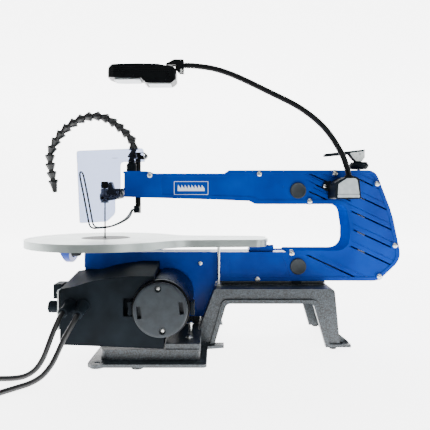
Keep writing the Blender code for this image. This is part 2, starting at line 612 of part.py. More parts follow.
def plug_and_coupling():
    rest = 2 * CORD_D + GAP
    centre = (MAINS_COIL[1], rest + 0.0185)
    plug = turned("mains_plug", "X", centre,
                  [(0, -0.3600), (0.0175, -0.3600), (0.0185, -0.3590), (0.0185, -0.3420), (0.0140, -0.3330),
                   (0.0080, -0.3220), (0.0050, -0.3060), (0, -0.3060)], RUBBER, sides=24)
    pins = [rod(f"plug_pin_{side}", "X", (centre[0] + side * 0.0095, centre[1]), 0.0024, -0.3790, -0.3590, sides=12)
            for side in (-1, 1)]
    join(plug, *pins)
    rest = CORD_D + GAP
    turned("second_coupling", "X", (SECOND_COIL[1], rest + 0.0090),
           [(0, -0.3560), (0.0075, -0.3560), (0.0090, -0.3545), (0.0090, -0.3200), (0.0050, -0.3020),
            (0, -0.3020)], RUBBER, sides=20)


# ---------------------------------------------------------------- table
def table_outline():
    """Round front about the blade, narrowing to a tail."""
    leave = math.radians(50)
    steps = 30
    points = []
    for step in range(steps + 1):
        angle = leave + (2 * math.pi - 2 * leave) * step / steps
        points.append((BLADE_X + TABLE_R * math.cos(angle), TABLE_R * math.sin(angle)))
    points += [(-0.050, -0.051, 0.060), (TABLE_REAR_X, -0.041, 0.024), (TABLE_REAR_X, 0.041, 0.024),
               (-0.050, 0.051, 0.060)]
    return points


INSERT_X = BLADE_X + 0.002
INSERT_R = 0.0415


def table():
    outline = table_outline()
    top = prism("table", "Z", TABLE_RIM_Z, TABLE_TOP, outline, ALUMINIUM)
    pocket = prism("table_pocket", "Z", TABLE_RIM_Z - 0.005, TABLE_TOP - TABLE_PLATE, inset(outline, 0.0045))
    seat = rod("table_insert_seat", "Z", (INSERT_X, 0), INSERT_R, TABLE_TOP - 0.0025, TABLE_TOP + 0.005, sides=40)
    opening = rod("table_opening", "Z", (INSERT_X, 0), INSERT_R - 0.005, TABLE_TOP - 0.020, TABLE_TOP + 0.005,
                  sides=40)
    # The rim stops at the tail's far side and about the rear trunnion, where it would meet the frame.
    relief = box("table_relief", (0.0, -0.0300, 0.150), (0.110, 0.060, TABLE_TOP - TABLE_PLATE))
    return cut(top, pocket, relief, seat, opening)


def table_insert():
    disc = rod("table_insert", "Z", (INSERT_X, 0), INSERT_R - GAP, TABLE_TOP - 0.0025 + GAP, TABLE_TOP - 0.0001,
               BLACK_PLASTIC, sides=40)
    slot = box("insert_slot", (BLADE_X - 0.0035, -0.0040, 0.160), (BLADE_X + 0.0035, 0.0040, 0.180))
    return cut(disc, slot)


LOCK_R = 0.030
LOCK_ANGLE = math.radians(-140)


def trunnion_front():
    """Half disc about the tilt axis, tapering downwards, with the lock bolt's arc slot."""
    under = TABLE_TOP - TABLE_PLATE - GAP
    plate = prism("trunnion_front", "Y", -0.043, 0.043,
                  [(-0.2485, under), (-0.2315, under), (-0.2315, 0.156), (-0.2360, 0.127), (-0.2440, 0.127),
                   (-0.2485, 0.156)], BLUE_PAINT)
    disc = rod("trunnion_disc", "X", (0, TABLE_TOP), 0.042, -0.260, -0.220, sides=48)
    combine(plate, "INTERSECT", [disc])
    half_slot = 0.0036
    first, last = math.radians(-152), math.radians(-86)
    outline = []
    for radius, turn in ((LOCK_R - half_slot, 1), (LOCK_R + half_slot, -1)):
        for step in range(9):
            share = step / 8 if turn > 0 else 1 - step / 8
            angle = first + (last - first) * share
            outline.append(Vector((radius * math.cos(angle), TABLE_TOP + radius * math.sin(angle))))
    return cut(plate, prism("trunnion_slot", "X", -0.260, -0.220, outline))


SADDLE_R = 0.0195


def trunnion_rear():
    return turned_half("trunnion_rear", SADDLE_R, 0.070, 0.096, BLUE_PAINT)


def turned_half(name, radius, low, high, finish):
    """Lower part of a disc about the tilt axis, cut off under the table's plate."""
    disc = rod(name, "X", (0, TABLE_TOP), radius, low, high, finish, sides=40)
    return cut(disc, box(f"{name}_top", (low - 0.01, -0.05, TABLE_TOP - TABLE_PLATE - GAP),
                         (high + 0.01, 0.05, TABLE_TOP + 0.05)))


def rear_saddle():
    """Cradle on the frame that the rear trunnion turns in."""
    block = prism("rear_saddle", "X", 0.0655, 0.1065,
                  [(-0.0250, 0.1485 + GAP), (0.0105, 0.1485 + GAP), (0.0105, 0.1505), (0.0060, 0.1550),
                   (-0.0220, 0.1600, 0.002), (-0.0250, 0.1580)], BLUE_PAINT)
    return cut(block, rod("saddle_bore", "X", (0, TABLE_TOP), SADDLE_R + GAP, 0.050, 0.120, sides=48))


def tilt_lock_knob():
    """Lock bolt through the front trunnion's arc slot, with its knob behind the trunnion."""
    place = (LOCK_R * math.cos(LOCK_ANGLE), TABLE_TOP + LOCK_R * math.sin(LOCK_ANGLE))
    return turned("tilt_lock_knob", "X", place,
                  [(0, -0.2535), (0.0045, -0.2535), (0.0050, -0.2492), (0.0028, -0.2492), (0.0028, -0.2308),
                   (0.0095, -0.2308), (0.0100, -0.2290), (0.0100, -0.2180), (0.0085, -0.2165), (0.0040, -0.2165),
                   (0.0040, -0.2105), (0, -0.2105)], GLOSS_BLACK, sides=24)


def tilt_scale():
    box("tilt_scale", (-0.2096, -0.027, 0.1225), (-0.2075 - GAP, 0.0175, 0.1455), WHITE_PLASTIC)


def tie_rod():
    """Plated rod with a hexagon nut, from the frame down to the casting's beam."""
    turned("tie_rod", "Z", (0.0145, -0.038),
           [(0, 0.0945), (0.0050, 0.0945), (0.0050, 0.0990), (0.0025, 0.0990), (0.0025, 0.1570), (0, 0.1570)],
           STEEL, sides=12)


# ---------------------------------------------------------------- guards
def guard_post():
    post = rod("guard_post", "Z", (POST_X, POST_Y), 0.005, 0.2120, 0.3180, GLOSS_BLACK)
    foot = box("post_foot", (-0.1330, 0.0060, 0.2120), (-0.1225, 0.0200, 0.2250))
    lug = prism("post_lug", "Y", 0.0090, 0.0190,
                [(-0.1265, 0.3060), (-0.1140, 0.3060, 0.003), (-0.1080, 0.3120, 0.004), (-0.1140, 0.3180, 0.003),
                 (-0.1265, 0.3180)])
    pin_hole = rod("post_pin_hole", "Y", (-0.1140, 0.3120), 0.0022 + GAP, 0.000, 0.030, sides=16)
    screw_hole = rod("post_screw_hole", "Y", (-0.1265, 0.2185), 0.0023, -0.001, 0.010, sides=12)
    return cut(join(post, foot, lug), pin_hole, screw_hole)


def guard_clamp_screw():
    """Small knob that clamps the wire guard to the post's foot."""
    return turned("guard_clamp_screw", "Y", (-0.1265, 0.2185),
                  [(0, -0.0040), (0.0045, -0.0040), (0.0055, -0.0030), (0.0055, 0.0030), (0.0045, 0.0040),
                   (0.0020, 0.0040), (0.0020, 0.0090), (0, 0.0090)], BLACK_PLASTIC, sides=20)


WIRE_HALF = 0.012
WIRE_ROUTE = [(-0.1348, 0.0085, 0.2185), (-0.1366, 0.0075, 0.2172), (-0.1395, -0.0030, 0.2095),
              (-0.1450, -WIRE_HALF, 0.2020), (-0.1580, -WIRE_HALF, 0.1945), (-0.1720, -WIRE_HALF, 0.1893),
              (-0.1880, -WIRE_HALF, 0.1874), (-0.1985, -WIRE_HALF, 0.1872), (-0.2045, -WIRE_HALF, 0.1920),
              (-0.2080, -WIRE_HALF, 0.2080), (-0.2140, -WIRE_HALF, 0.2400), (-0.2200, -WIRE_HALF, 0.2700),
              (-0.2218, -0.0090, 0.2800), (-0.2224, 0.0000, 0.2835), (-0.2218, 0.0090, 0.2800),
              (-0.2200, WIRE_HALF, 0.2700), (-0.2140, WIRE_HALF, 0.2400), (-0.2080, WIRE_HALF, 0.2080),
              (-0.2045, WIRE_HALF, 0.1920), (-0.1985, WIRE_HALF, 0.1872), (-0.1880, WIRE_HALF, 0.1874),
              (-0.1720, WIRE_HALF, 0.1893), (-0.1580, WIRE_HALF, 0.1945), (-0.1450, 0.0130, 0.2020),
              (-0.1400, 0.0150, 0.2085), (-0.1366, 0.0160, 0.2172), (-0.1348, 0.0160, 0.2185)]


def wire_guard():
    return tube("wire_guard", smooth_route(WIRE_ROUTE, 56), 0.0015, STEEL, 1)


def clear_guard():
    """Clear sheet hung on a pin through the post's lug."""
    sheet = prism("clear_guard", "Y", GUARD_Y - 0.001, GUARD_Y + 0.001,
                  [(-0.2240, 0.3175, 0.004), (-0.1120, 0.3220, 0.004), (-0.1090, 0.2990), (-0.1500, 0.2985, 0.006),
                   (-0.1500, 0.2400, 0.004), (-0.1587, 0.2360, 0.004), (-0.1587, 0.2120, 0.010),
                   (-0.1730, 0.1985, 0.010), (-0.2187, 0.1960, 0.003)], CLEAR)
    pin = rod("guard_pin", "Y", (-0.1140, 0.3120), 0.0022, GUARD_Y - 0.001, 0.0195, sides=16)
    return join(sheet, pin)


# ---------------------------------------------------------------- blower hose
HOSE_ROUTE = [(-0.1325, HOSE_Y, 0.3060), (-0.1297, HOSE_Y, 0.3250), (-0.1348, HOSE_Y, 0.3399),
              (-0.1570, HOSE_Y, 0.3612), (-0.1817, HOSE_Y, 0.3763), (-0.2104, HOSE_Y, 0.3763),
              (-0.2372, HOSE_Y, 0.3633), (-0.2581, HOSE_Y, 0.3425), (-0.2721, HOSE_Y, 0.3152),
              (-0.2718, HOSE_Y, 0.2925), (-0.2675, HOSE_Y, 0.2690)]
LINKS_PER_SECTION = 6
HOSE_R = 0.0080
LINK_SWELL = (0.62, 0.95, 1.0, 0.70)      # socket and ball of one link
JOINT_SWELL = 0.30                        # small ball between two runs, which leaves room to bend


def hose_sections():
    """Three runs of ball-and-socket links, each a body that the next one bends on."""
    points = smooth_route(HOSE_ROUTE, 3 * LINKS_PER_SECTION * len(LINK_SWELL) + 1)
    per_section = LINKS_PER_SECTION * len(LINK_SWELL)
    made = []
    for index, name in enumerate(("hose_lower", "hose_middle", "hose_upper")):
        run = [point.copy() for point in points[index * per_section:(index + 1) * per_section + 1]]
        run[-1] = run[-1].lerp(run[-2], 0.27)
        swell = [JOINT_SWELL, *LINK_SWELL[1:]] + list(LINK_SWELL) * (LINKS_PER_SECTION - 1) + [JOINT_SWELL]
        made.append(tube(name, run, HOSE_R, BLACK_PLASTIC, 2, swell))
    return made


def hose_joint(index):
    points = smooth_route(HOSE_ROUTE, 3 * LINKS_PER_SECTION * len(LINK_SWELL) + 1)
    return points[index * LINKS_PER_SECTION * len(LINK_SWELL)]


def hose_connector():
    return turned("hose_connector", "Z", (CONNECTOR_X, HOSE_Y),
                  [(0, 0.2770), (0.0045, 0.2770), (0.0045, 0.283 + GAP), (0.0085, 0.283 + GAP), (0.0085, 0.2965),
                   (0.0060, 0.2975), (0.0060, 0.3050), (0, 0.3050)], BLACK_PLASTIC, sides=24)


def hose_nozzle():
    start, tip = Vector(HOSE_ROUTE[-1]), Vector((-0.2640, HOSE_Y, 0.2480))
    along = tip - start
    points = [start + along * share for share in (0.03, 0.11, 0.32, 0.9, 1.0)]
    return tube("hose_nozzle", points, 0.0070, BLACK_PLASTIC, 2, [0.42, 0.9, 0.6, 0.35, 0.35])


# ---------------------------------------------------------------- lamp
NECK_ROUTE = [(0.2243, LAMP_Y, 0.2725), (0.2218, LAMP_Y, 0.2857), (0.2118, -0.0500, 0.3134),
              (0.1862, -0.0450, 0.3532), (0.1484, -0.0380, 0.3864), (0.0984, -0.0290, 0.4148),
              (0.0448, -0.0190, 0.4432), (0.0085, -0.0120, 0.4576), (-0.0241, -0.0040, 0.4650),
              (-0.0434, 0.0, NECK_Z)]


def lamp_box():
    case = prism("lamp_box", "Y", -0.080, -FRAME_HALF - GAP,
                 [(0.1955, 0.2365, 0.003), (0.1955, 0.2620, 0.004), (0.2120, 0.2712, 0.006),
                  (0.2330, 0.2720, 0.008), (0.2360, 0.2365, 0.004)], BLACK_PLASTIC)
    ear = prism("lamp_box_ear", "Y", -0.036, -FRAME_HALF - GAP,
                [(0.2000, 0.2480), (0.1900, 0.2510, 0.004), (0.1845, 0.2580, 0.005), (0.1900, 0.2650, 0.005),
                 (0.2000, 0.2670)])
    return join(case, ear)


def gooseneck():
    return tube("gooseneck", smooth_route(NECK_ROUTE, 40), 0.0050, GLOSS_BLACK)


HEAD_PIN = (-0.052, 0.462)


def lamp_neck():
    body = prism("lamp_neck", "Y", -0.007, 0.007,
                 [(-0.0449, 0.4535), (-0.0449, 0.4760, 0.002), (-0.0620, 0.4760, 0.010), (-0.0790, 0.4670, 0.001),
                  (-0.0600, 0.4670), (-0.0568, 0.4640), (-0.0568, 0.4570), (-0.0520, 0.4535, 0.002)], GLOSS_BLACK)
    slot = box("neck_slot", (-0.0650, -0.0034, 0.4450), (-0.0465, 0.0034, 0.4682))
    pin = rod("neck_pin", "Y", HEAD_PIN, 0.0020, -0.0068, 0.0068, sides=16)
    return join(cut(body, slot), pin)


def lamp_head():
    half = 0.019
    body = prism("lamp_head", "Y", -half, half,
                 [(-0.1750, 0.4440, 0.003), (-0.1750, 0.4580, 0.006), (-0.1660, 0.4645, 0.006), (-0.1227, 0.4658),
                  (-0.0900, 0.4655, 0.010), (-0.0610, 0.4605, 0.004), (-0.0575, 0.4550), (-0.0575, 0.4394),
                  (-0.0649, 0.4334), (-0.1087, 0.4330), (-0.1166, 0.4413), (-0.1650, 0.4419)], GLOSS_BLACK)
    plan = prism("lamp_head_plan", "Z", 0.400, 0.500,
                 [(-0.1750, -half, 0.014), (-0.0570, -0.017, 0.005), (-0.0570, 0.017, 0.005),
                  (-0.1750, half, 0.014)])
    combine(body, "INTERSECT", [plan])
    lug = rod("head_lug", "Y", HEAD_PIN, 0.0045, -0.003, 0.003, sides=16)
    web = box("head_web", (-0.0600, -0.003, 0.4580), (HEAD_PIN[0], 0.003, 0.4660))
    bore = rod("head_bore", "Y", HEAD_PIN, 0.0020 + GAP, -0.010, 0.010, sides=16)
    return cut(join(body, lug, web), bore)


def lamp_lens():
    return prism("lamp_lens", "Z", 0.4388, 0.4410 - GAP,
                 [(-0.1640, -0.014, 0.008), (-0.1190, -0.014, 0.003), (-0.1190, 0.014, 0.003),
                  (-0.1640, 0.014, 0.008)], CLEAR)


# ---------------------------------------------------------------- the assembly
base_casting()
rubber_feet()
mounting_plate()
frame_shell("frame_shell_near", -1)
frame_shell("frame_shell_far", 1)
pivot_pin("upper_pivot_pin", UPPER_PIVOT_Z)
pivot_pin("lower_pivot_pin", LOWER_PIVOT_Z)
motor_housing()
motor_end_cap()
control_box()
control_panel()
leads()
plug_and_coupling()
rear_saddle()
tilt_scale()
tie_rod()
hose_connector()
lamp_box()
gooseneck()

upper_rocker = joint_frame("pivot_upper_arm", (PIVOT_X, 0, UPPER_PIVOT_Z), None, [upper_arm()])
lower_rocker = joint_frame("pivot_lower_arm", (PIVOT_X, 0, LOWER_PIVOT_Z), None, [lower_arm()])
upper_holder = joint_frame("pivot_upper_holder", (BLADE_X, 0, UPPER_HOLDER_Z), upper_rocker,
                           [cut(blade_holder("blade_holder_upper", 0.230, 0.2545, UPPER_HOLDER_Z, 0.225, 0.2400),
                                rod("holder_upper_tap", "Z", (BLADE_X, 0), 0.0023, 0.2465, 0.260, sides=16)),
                            blade()])
lower_holder = joint_frame("pivot_lower_holder", (BLADE_X, 0, LOWER_HOLDER_Z), lower_rocker,
                           [cut(blade_holder("blade_holder_lower", 0.1045, 0.1240, LOWER_HOLDER_Z, 0.1121, 0.130),
                                rod("holder_lower_tap", "X", (0, 0.1185), 0.0023, -0.195, -0.1836, sides=16))])
joint_frame("pivot_thumb_screw_upper", (BLADE_X, 0, 0.255), upper_holder, [thumb_screw_upper()])
joint_frame("pivot_thumb_screw_lower", (-0.1895, 0, 0.1185), lower_holder, [thumb_screw_lower()])
tail = joint_frame("pivot_rear_link", (LINK_X, 0, UPPER_PIVOT_Z), upper_rocker, [rear_link()])
joint_frame("pivot_tension_knob", (LINK_X, 0, 0.288), tail, [tension_knob()])
joint_frame("pivot_tension_lever", (LINK_X, 0, LEVER_Z), tail, [tension_lever()])
drive = joint_frame("pivot_motor", (MOTOR_X, -0.0205, MOTOR_Z), None, [motor_rotor()])
joint_frame("pivot_connecting_rod", (MOTOR_X + CRANK, -0.0168, MOTOR_Z), drive, [connecting_rod()])
joint_frame("pivot_rocker", (-0.2270, -0.090, 0.0975), None, [power_switch()])
joint_frame("pivot_speed_knob", (-0.2205, -0.100, 0.074), None, [speed_knob()])
joint_frame("pivot_table", (BLADE_X, 0, TABLE_TOP), None,
            [table(), table_insert(), trunnion_front(), trunnion_rear()])
joint_frame("pivot_tilt_lock", (-0.2165, LOCK_R * math.cos(LOCK_ANGLE), TABLE_TOP + LOCK_R * math.sin(LOCK_ANGLE)),
            None, [tilt_lock_knob()])
post = joint_frame("pivot_guard_post", (POST_X, POST_Y, 0.212), None, [guard_post(), wire_guard()])
joint_frame("pivot_clamp_screw", (-0.1265, 0, 0.2185), post, [guard_clamp_screw()])
joint_frame("pivot_clear_guard", (-0.1140, GUARD_Y, 0.3120), post, [clear_guard()])
lower_hose, middle_hose, upper_hose = hose_sections()
hose_1 = joint_frame("pivot_hose_lower", hose_joint(0), None, [lower_hose])
hose_2 = joint_frame("pivot_hose_middle", hose_joint(1), hose_1, [middle_hose])
hose_3 = joint_frame("pivot_hose_upper", hose_joint(2), hose_2, [upper_hose])
joint_frame("pivot_nozzle", HOSE_ROUTE[-1], hose_3, [hose_nozzle()])
swivel = joint_frame("pivot_lamp_swivel", (NECK_X, 0, NECK_Z), None, [lamp_neck()])
joint_frame("pivot_lamp_head", (HEAD_PIN[0], 0, HEAD_PIN[1]), swivel, [lamp_head(), lamp_lens()])
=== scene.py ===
"""Scroll saw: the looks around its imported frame. Metres, +Z up, +X to the saw's rear, -Y its motor side."""
import math

import bpy
from mathutils import Matrix, Vector


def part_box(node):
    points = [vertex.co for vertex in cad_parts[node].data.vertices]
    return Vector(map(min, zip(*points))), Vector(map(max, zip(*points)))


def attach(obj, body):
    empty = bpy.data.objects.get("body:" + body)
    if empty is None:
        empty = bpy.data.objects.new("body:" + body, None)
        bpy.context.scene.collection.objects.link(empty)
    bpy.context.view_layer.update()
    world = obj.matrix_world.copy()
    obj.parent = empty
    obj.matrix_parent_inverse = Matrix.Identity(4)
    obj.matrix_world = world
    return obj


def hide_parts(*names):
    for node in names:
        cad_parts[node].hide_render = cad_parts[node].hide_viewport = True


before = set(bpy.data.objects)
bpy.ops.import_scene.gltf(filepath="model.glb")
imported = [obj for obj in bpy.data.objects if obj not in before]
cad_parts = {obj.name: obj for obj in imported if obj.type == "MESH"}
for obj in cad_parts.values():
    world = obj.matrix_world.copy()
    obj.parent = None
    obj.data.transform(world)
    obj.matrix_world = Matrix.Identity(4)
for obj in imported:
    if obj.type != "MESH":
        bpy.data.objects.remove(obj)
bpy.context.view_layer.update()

# ---------------------------------------------------------------- camera, floor and light
# A plain white sweep: the floor turns up into the wall on one wide curve, so no horizon shows.
# Four soft panels light it, and the one on the right is what the rear cover's gloss picks up.
EYE = Vector((0.0085, -0.800, 0.235))
camera = bpy.data.objects.new("camera", bpy.data.cameras.new("camera"))
bpy.context.scene.collection.objects.link(camera)
bpy.context.scene.camera = camera
camera.location = EYE
camera.rotation_euler = (math.radians(90), 0, 0)
camera.data.lens = 38.8
camera.data.sensor_width = 36
camera.data.shift_y = -0.035
camera.data.clip_start = 0.01


def linear(hex_colour):
    channels = [int(hex_colour[i:i + 2], 16) / 255 for i in (1, 3, 5)]
    return [c / 12.92 if c <= 0.04045 else ((c + 0.055) / 1.055) ** 2.4 for c in channels] + [1.0]


def add(material, kind, settings, links=()):
    """Adds one node: settings go to its sockets or properties, stops to its ramp, links to its sockets."""
    node = material.node_tree.nodes.new(kind)
    for name, value in settings.items():
        if name == "stops":
            for element, (position, hex_colour) in zip(node.color_ramp.elements, value):
                element.position = position
                element.color = linear(hex_colour)
        elif name in node.inputs:
            node.inputs[name].default_value = value
        else:
            setattr(node, name, value)
    for name, source in dict(links).items():
        material.node_tree.links.new(source, node.inputs[name])
    return node


def principled(name, hex_colour, roughness, metallic=0.0):
    """A new material, its shader with the plain values on its own sockets, and its Object coordinates."""
    made = bpy.data.materials.new(name)
    made.use_nodes = True
    shader = made.node_tree.nodes["Principled BSDF"]
    shader.inputs["Base Color"].default_value = linear(hex_colour)
    shader.inputs["Roughness"].default_value = roughness
    shader.inputs["Metallic"].default_value = metallic
    return made, shader, add(made, "ShaderNodeTexCoord", {}).outputs["Object"]


def feed(output, socket):
    output.id_data.links.new(output, socket)


studio_paper, shader, spot = principled("studio_paper", "#fbfbfb", 0.9)
shader.inputs["Emission Color"].default_value = (1.0, 1.0, 1.0, 1.0)
along_floor = add(studio_paper, "ShaderNodeSeparateXYZ", {}, {"Vector": spot})
# The paper is lit from behind from just in front of the saw backwards, and plain nearer the camera.
backlight = add(studio_paper, "ShaderNodeMapRange", {"From Min": -0.40, "From Max": -0.335, "To Max": 5.0},
                {"Value": along_floor.outputs["Y"]})
feed(backlight.outputs["Result"], shader.inputs["Emission Strength"])
SWEEP_FRONT, SWEEP_BACK, SWEEP_R, SWEEP_HALF = -2.6, 1.6, 0.9, 4.0
profile = [(SWEEP_FRONT, 0.0), (SWEEP_BACK, 0.0)]
for step in range(1, 17):
    turn = math.radians(90) * step / 16
    profile.append((SWEEP_BACK + SWEEP_R * math.sin(turn), SWEEP_R - SWEEP_R * math.cos(turn)))
profile.append((SWEEP_BACK + SWEEP_R, 3.2))
sweep_mesh = bpy.data.meshes.new("sweep")
sweep_mesh.from_pydata([(side * SWEEP_HALF, y, z) for y, z in profile for side in (-1, 1)], [],
                       [(2 * i, 2 * i + 1, 2 * i + 3, 2 * i + 2) for i in range(len(profile) - 1)])
sweep_mesh.shade_smooth()
sweep = bpy.data.objects.new("sweep", sweep_mesh)
bpy.context.scene.collection.objects.link(sweep)
sweep.data.materials.append(studio_paper)


def soft_panel(name, place, target, size, power):
    lamp = bpy.data.objects.new(name, bpy.data.lights.new(name, "AREA"))
    lamp.data.shape = "RECTANGLE"
    lamp.data.size, lamp.data.size_y = size
    lamp.data.energy = power
    lamp.location = place
    lamp.rotation_euler = (Vector(target) - Vector(place)).to_track_quat("-Z", "Y").to_euler()
    bpy.context.scene.collection.objects.link(lamp)


soft_panel("panel_top", (-0.2, -0.5, 1.7), (0.0, 0.0, 0.2), (1.6, 1.2), 8)
soft_panel("panel_right", (1.05, -1.35, 0.45), (0.2, 0.0, 0.2), (0.5, 0.8), 9)
soft_panel("panel_left", (-1.4, -0.9, 0.9), (-0.1, 0.0, 0.2), (0.8, 1.2), 4)
soft_panel("panel_front", (0.1, -1.7, 1.5), (0.0, 0.0, 0.2), (1.2, 0.8), 5)
world = bpy.data.worlds.new("studio")
bpy.context.scene.world = world
world.use_nodes = True
world.node_tree.nodes["Background"].inputs["Color"].default_value = (1.0, 1.0, 1.0, 1.0)
world.node_tree.nodes["Background"].inputs["Strength"].default_value = 0.10

# ---------------------------------------------------------------- mains lead and second lead
# Two black PVC leads, 7 mm thick, leave tapered strain reliefs on the housing's motor side, drop to
# the bench and run to the left. What is not in use is wound into flat coils.
CORD_D = 0.007
COIL_R = 0.0385
MAINS_COIL = (-0.335, -0.246)
SECOND_COIL = (-0.317, -0.345)
MAINS_EXIT = Vector((-0.2005, -0.1650, 0.0800))
SECOND_EXIT = Vector((-0.1801, -0.1650, 0.0770))
MAINS_ROUTE = [MAINS_EXIT, (-0.2012, -0.1725, 0.0770), (-0.2040, -0.1812, 0.0670),
               (-0.2080, -0.1868, 0.0540),
               (-0.2122, -0.1905, 0.0400), (-0.2175, -0.1932, 0.0260), (-0.2262, -0.1955, 0.0135),
               (-0.2385, -0.1972, 0.0060), (-0.2530, -0.1985, 0.0036), (-0.2720, -0.1998, 0.0035),
               (-0.3000, -0.2008, 0.0035)]
SECOND_ROUTE = [SECOND_EXIT, (-0.1804, -0.1722, 0.0742), (-0.1832, -0.1790, 0.0672),
                (-0.1878, -0.1842, 0.0580),
                (-0.1935, -0.1885, 0.0460), (-0.1985, -0.1930, 0.0330), (-0.2045, -0.1990, 0.0200),
                (-0.2130, -0.2070, 0.0095), (-0.2240, -0.2170, 0.0045), (-0.2370, -0.2295, 0.0035),
                (-0.2520, -0.2470, 0.0035), (-0.2660, -0.2710, 0.0035), (-0.2735, -0.2980, 0.0035),
                (-0.2750, -0.3205, 0.0035)]
COIL_POINTS = 16           # for each turn

# Plasticised PVC: a soft sheen, slightly uneven, with the faint lay of the cores under it. Here and
# below, a pattern's scale is 1000 over the size of its cells in mm, because coordinates are in metres.
pvc, shader, spot = principled("black_pvc", "#0a0c0e", 0.42)
unevenness = add(pvc, "ShaderNodeTexNoise", {"Scale": 1000 / 6, "Detail": 3.0}, {"Vector": spot})
sheen = add(pvc, "ShaderNodeMapRange", {"To Min": 0.34, "To Max": 0.52},
            {"Value": unevenness.outputs["Fac"]})
feed(sheen.outputs["Result"], shader.inputs["Roughness"])
relief = add(pvc, "ShaderNodeBump", {"Strength": 0.3, "Distance": 0.0002},
             {"Height": unevenness.outputs["Fac"]})
feed(relief.outputs["Normal"], shader.inputs["Normal"])


def catmull(points, steps=6):
    """Points on the smooth curve through the given ones."""
    nodes = [Vector(p) for p in points]
    nodes = [2 * nodes[0] - nodes[1]] + nodes + [2 * nodes[-1] - nodes[-2]]
    fine = []
    for a, b, c, d in zip(nodes, nodes[1:], nodes[2:], nodes[3:]):
        for step in range(steps):
            t = step / steps
            fine.append(0.5 * (2 * b + (c - a) * t + (2 * a - 5 * b + 4 * c - d) * t ** 2
                               + (3 * b - a - 3 * c + d) * t ** 3))
    return fine + [nodes[-2]]


def coil_turns(centre, start_angle, spin, rings):
    """Turns wound flat, out to in, layer by layer; rings lists each turn's (radius, height)."""
    points = []
    for index, (radius, height) in enumerate(rings):
        after = rings[min(index + 1, len(rings) - 1)]
        for step in range(COIL_POINTS):
            share = step / COIL_POINTS
            blend = max(0.0, (share - 0.6) / 0.4)
            angle = start_angle + spin * 2 * math.pi * share
            here = radius + (after[0] - radius) * blend
            level = height + (after[1] - height) * blend
            points.append(Vector((centre[0] + here * math.cos(angle), centre[1] + here * math.sin(angle),
                                  level)))
    return points


def run(name, points, radius, finish, swell=None):
    """A round length along the points; swell gives each point's share of the radius."""
    curve = bpy.data.curves.new(name, "CURVE")
    curve.dimensions = "3D"
    curve.bevel_depth = radius
    curve.bevel_resolution = 4
    curve.use_fill_caps = True
    spline = curve.splines.new("POLY")
    spline.points.add(len(points) - 1)
    for index, point in enumerate(points):
        spline.points[index].co = (*point, 1)
        spline.points[index].radius = swell[index] if swell else 1.0
    curve.materials.append(finish)
    made = bpy.data.objects.new(name, curve)
    bpy.context.scene.collection.objects.link(made)
    return made


low, high = CORD_D / 2, CORD_D * 1.5
mains_rings = [(COIL_R + CORD_D, low), (COIL_R, low), (COIL_R - CORD_D, low), (COIL_R - CORD_D, high),
               (COIL_R, high), (COIL_R + CORD_D, high)]
mains_turns = coil_turns(MAINS_COIL, math.radians(72), 1, mains_rings)
mains = run("mains_flex", catmull(MAINS_ROUTE[:-1]) + mains_turns, CORD_D / 2, pvc)
second_rings = [(COIL_R + CORD_D / 2, low), (COIL_R - CORD_D / 2, low)]
second_turns = coil_turns(SECOND_COIL, math.radians(30), -1, second_rings)
second = run("second_flex", catmull(SECOND_ROUTE[:-1]) + second_turns, CORD_D / 2, pvc)
for cord in (mains, second):
    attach(cord, "base")
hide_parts("mains_lead", "mains_coil")
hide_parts("second_lead", "second_coil")

# ---------------------------------------------------------------- cast base
# Grey-iron casting in hammered black enamel: front foot, arched beam and rear feet in one piece. The
# enamel pulls into cells a few millimetres wide; their colour follows their height, a painted highlight on
# the crowns and painted shade in the hollows. It stands on rubber feet.
PLANES = {
    "X": lambda u, v, w: (w, u, v),
    "Y": lambda u, v, w: (u, w, v),
    "Z": lambda u, v, w: (u, v, w),
}


def rounded(corners):
    """Closed outline from (u, v) or (u, v, radius) corners; a radius turns the corner on an arc."""
    points = []
    for index, corner in enumerate(corners):
        here = Vector(corner[:2])
        if len(corner) < 3:
            points.append(here)
            continue
        back = (Vector(corners[index - 1][:2]) - here).normalized()
        ahead = (Vector(corners[(index + 1) % len(corners)][:2]) - here).normalized()
        half = back.angle(ahead) / 2
        centre = here + (back + ahead).normalized() * corner[2] / math.sin(half)
        first = here + back * corner[2] / math.tan(half) - centre
        turn = math.pi - 2 * half
        if first.y * back.x - first.x * back.y < 0:
            turn = -turn
        steps = max(2, math.ceil(abs(turn) / math.radians(9)))
        for step in range(steps + 1):
            points.append(centre + Matrix.Rotation(turn * step / steps, 2) @ first)
    return points


def choose(piece):
    """Selects one piece alone and makes it active."""
    bpy.ops.object.select_all(action="DESELECT")
    piece.select_set(True)
    bpy.context.view_layer.objects.active = piece


def modify(piece, kind, **settings):
    step = piece.modifiers.new(kind.lower(), kind)
    for name, value in settings.items():
        setattr(step, name, value)
    choose(piece)
    bpy.ops.object.modifier_apply(modifier=step.name)
    return piece


def soften(piece, width, segments=2):
    """Rounds every real edge, and leaves the facets of round stretches alone."""
    return modify(piece, "BEVEL", width=width, segments=segments, limit_method="ANGLE",
                  angle_limit=math.radians(38), miter_outer="MITER_ARC")


def slab(name, axis, low, high, corners, edge=0.0, segments=2):
    """A circle whose vertices are moved onto the outline, extruded along the axis."""
    points = rounded(corners)
    bpy.ops.object.select_all(action="DESELECT")
    bpy.ops.mesh.primitive_circle_add(vertices=len(points), fill_type="NGON")
    made = bpy.context.object
    made.name = made.data.name = name
    for vertex, point in zip(made.data.vertices, points):
        vertex.co = PLANES[axis](point.x, point.y, low)
    bpy.ops.object.mode_set(mode="EDIT")
    bpy.ops.mesh.select_all(action="SELECT")
    bpy.ops.mesh.extrude_region_move(TRANSFORM_OT_translate={"value": PLANES[axis](0, 0, high - low)})
    bpy.ops.mesh.select_all(action="SELECT")
    bpy.ops.mesh.normals_make_consistent(inside=False)
    bpy.ops.object.mode_set(mode="OBJECT")
    return soften(made, edge, segments) if edge else made


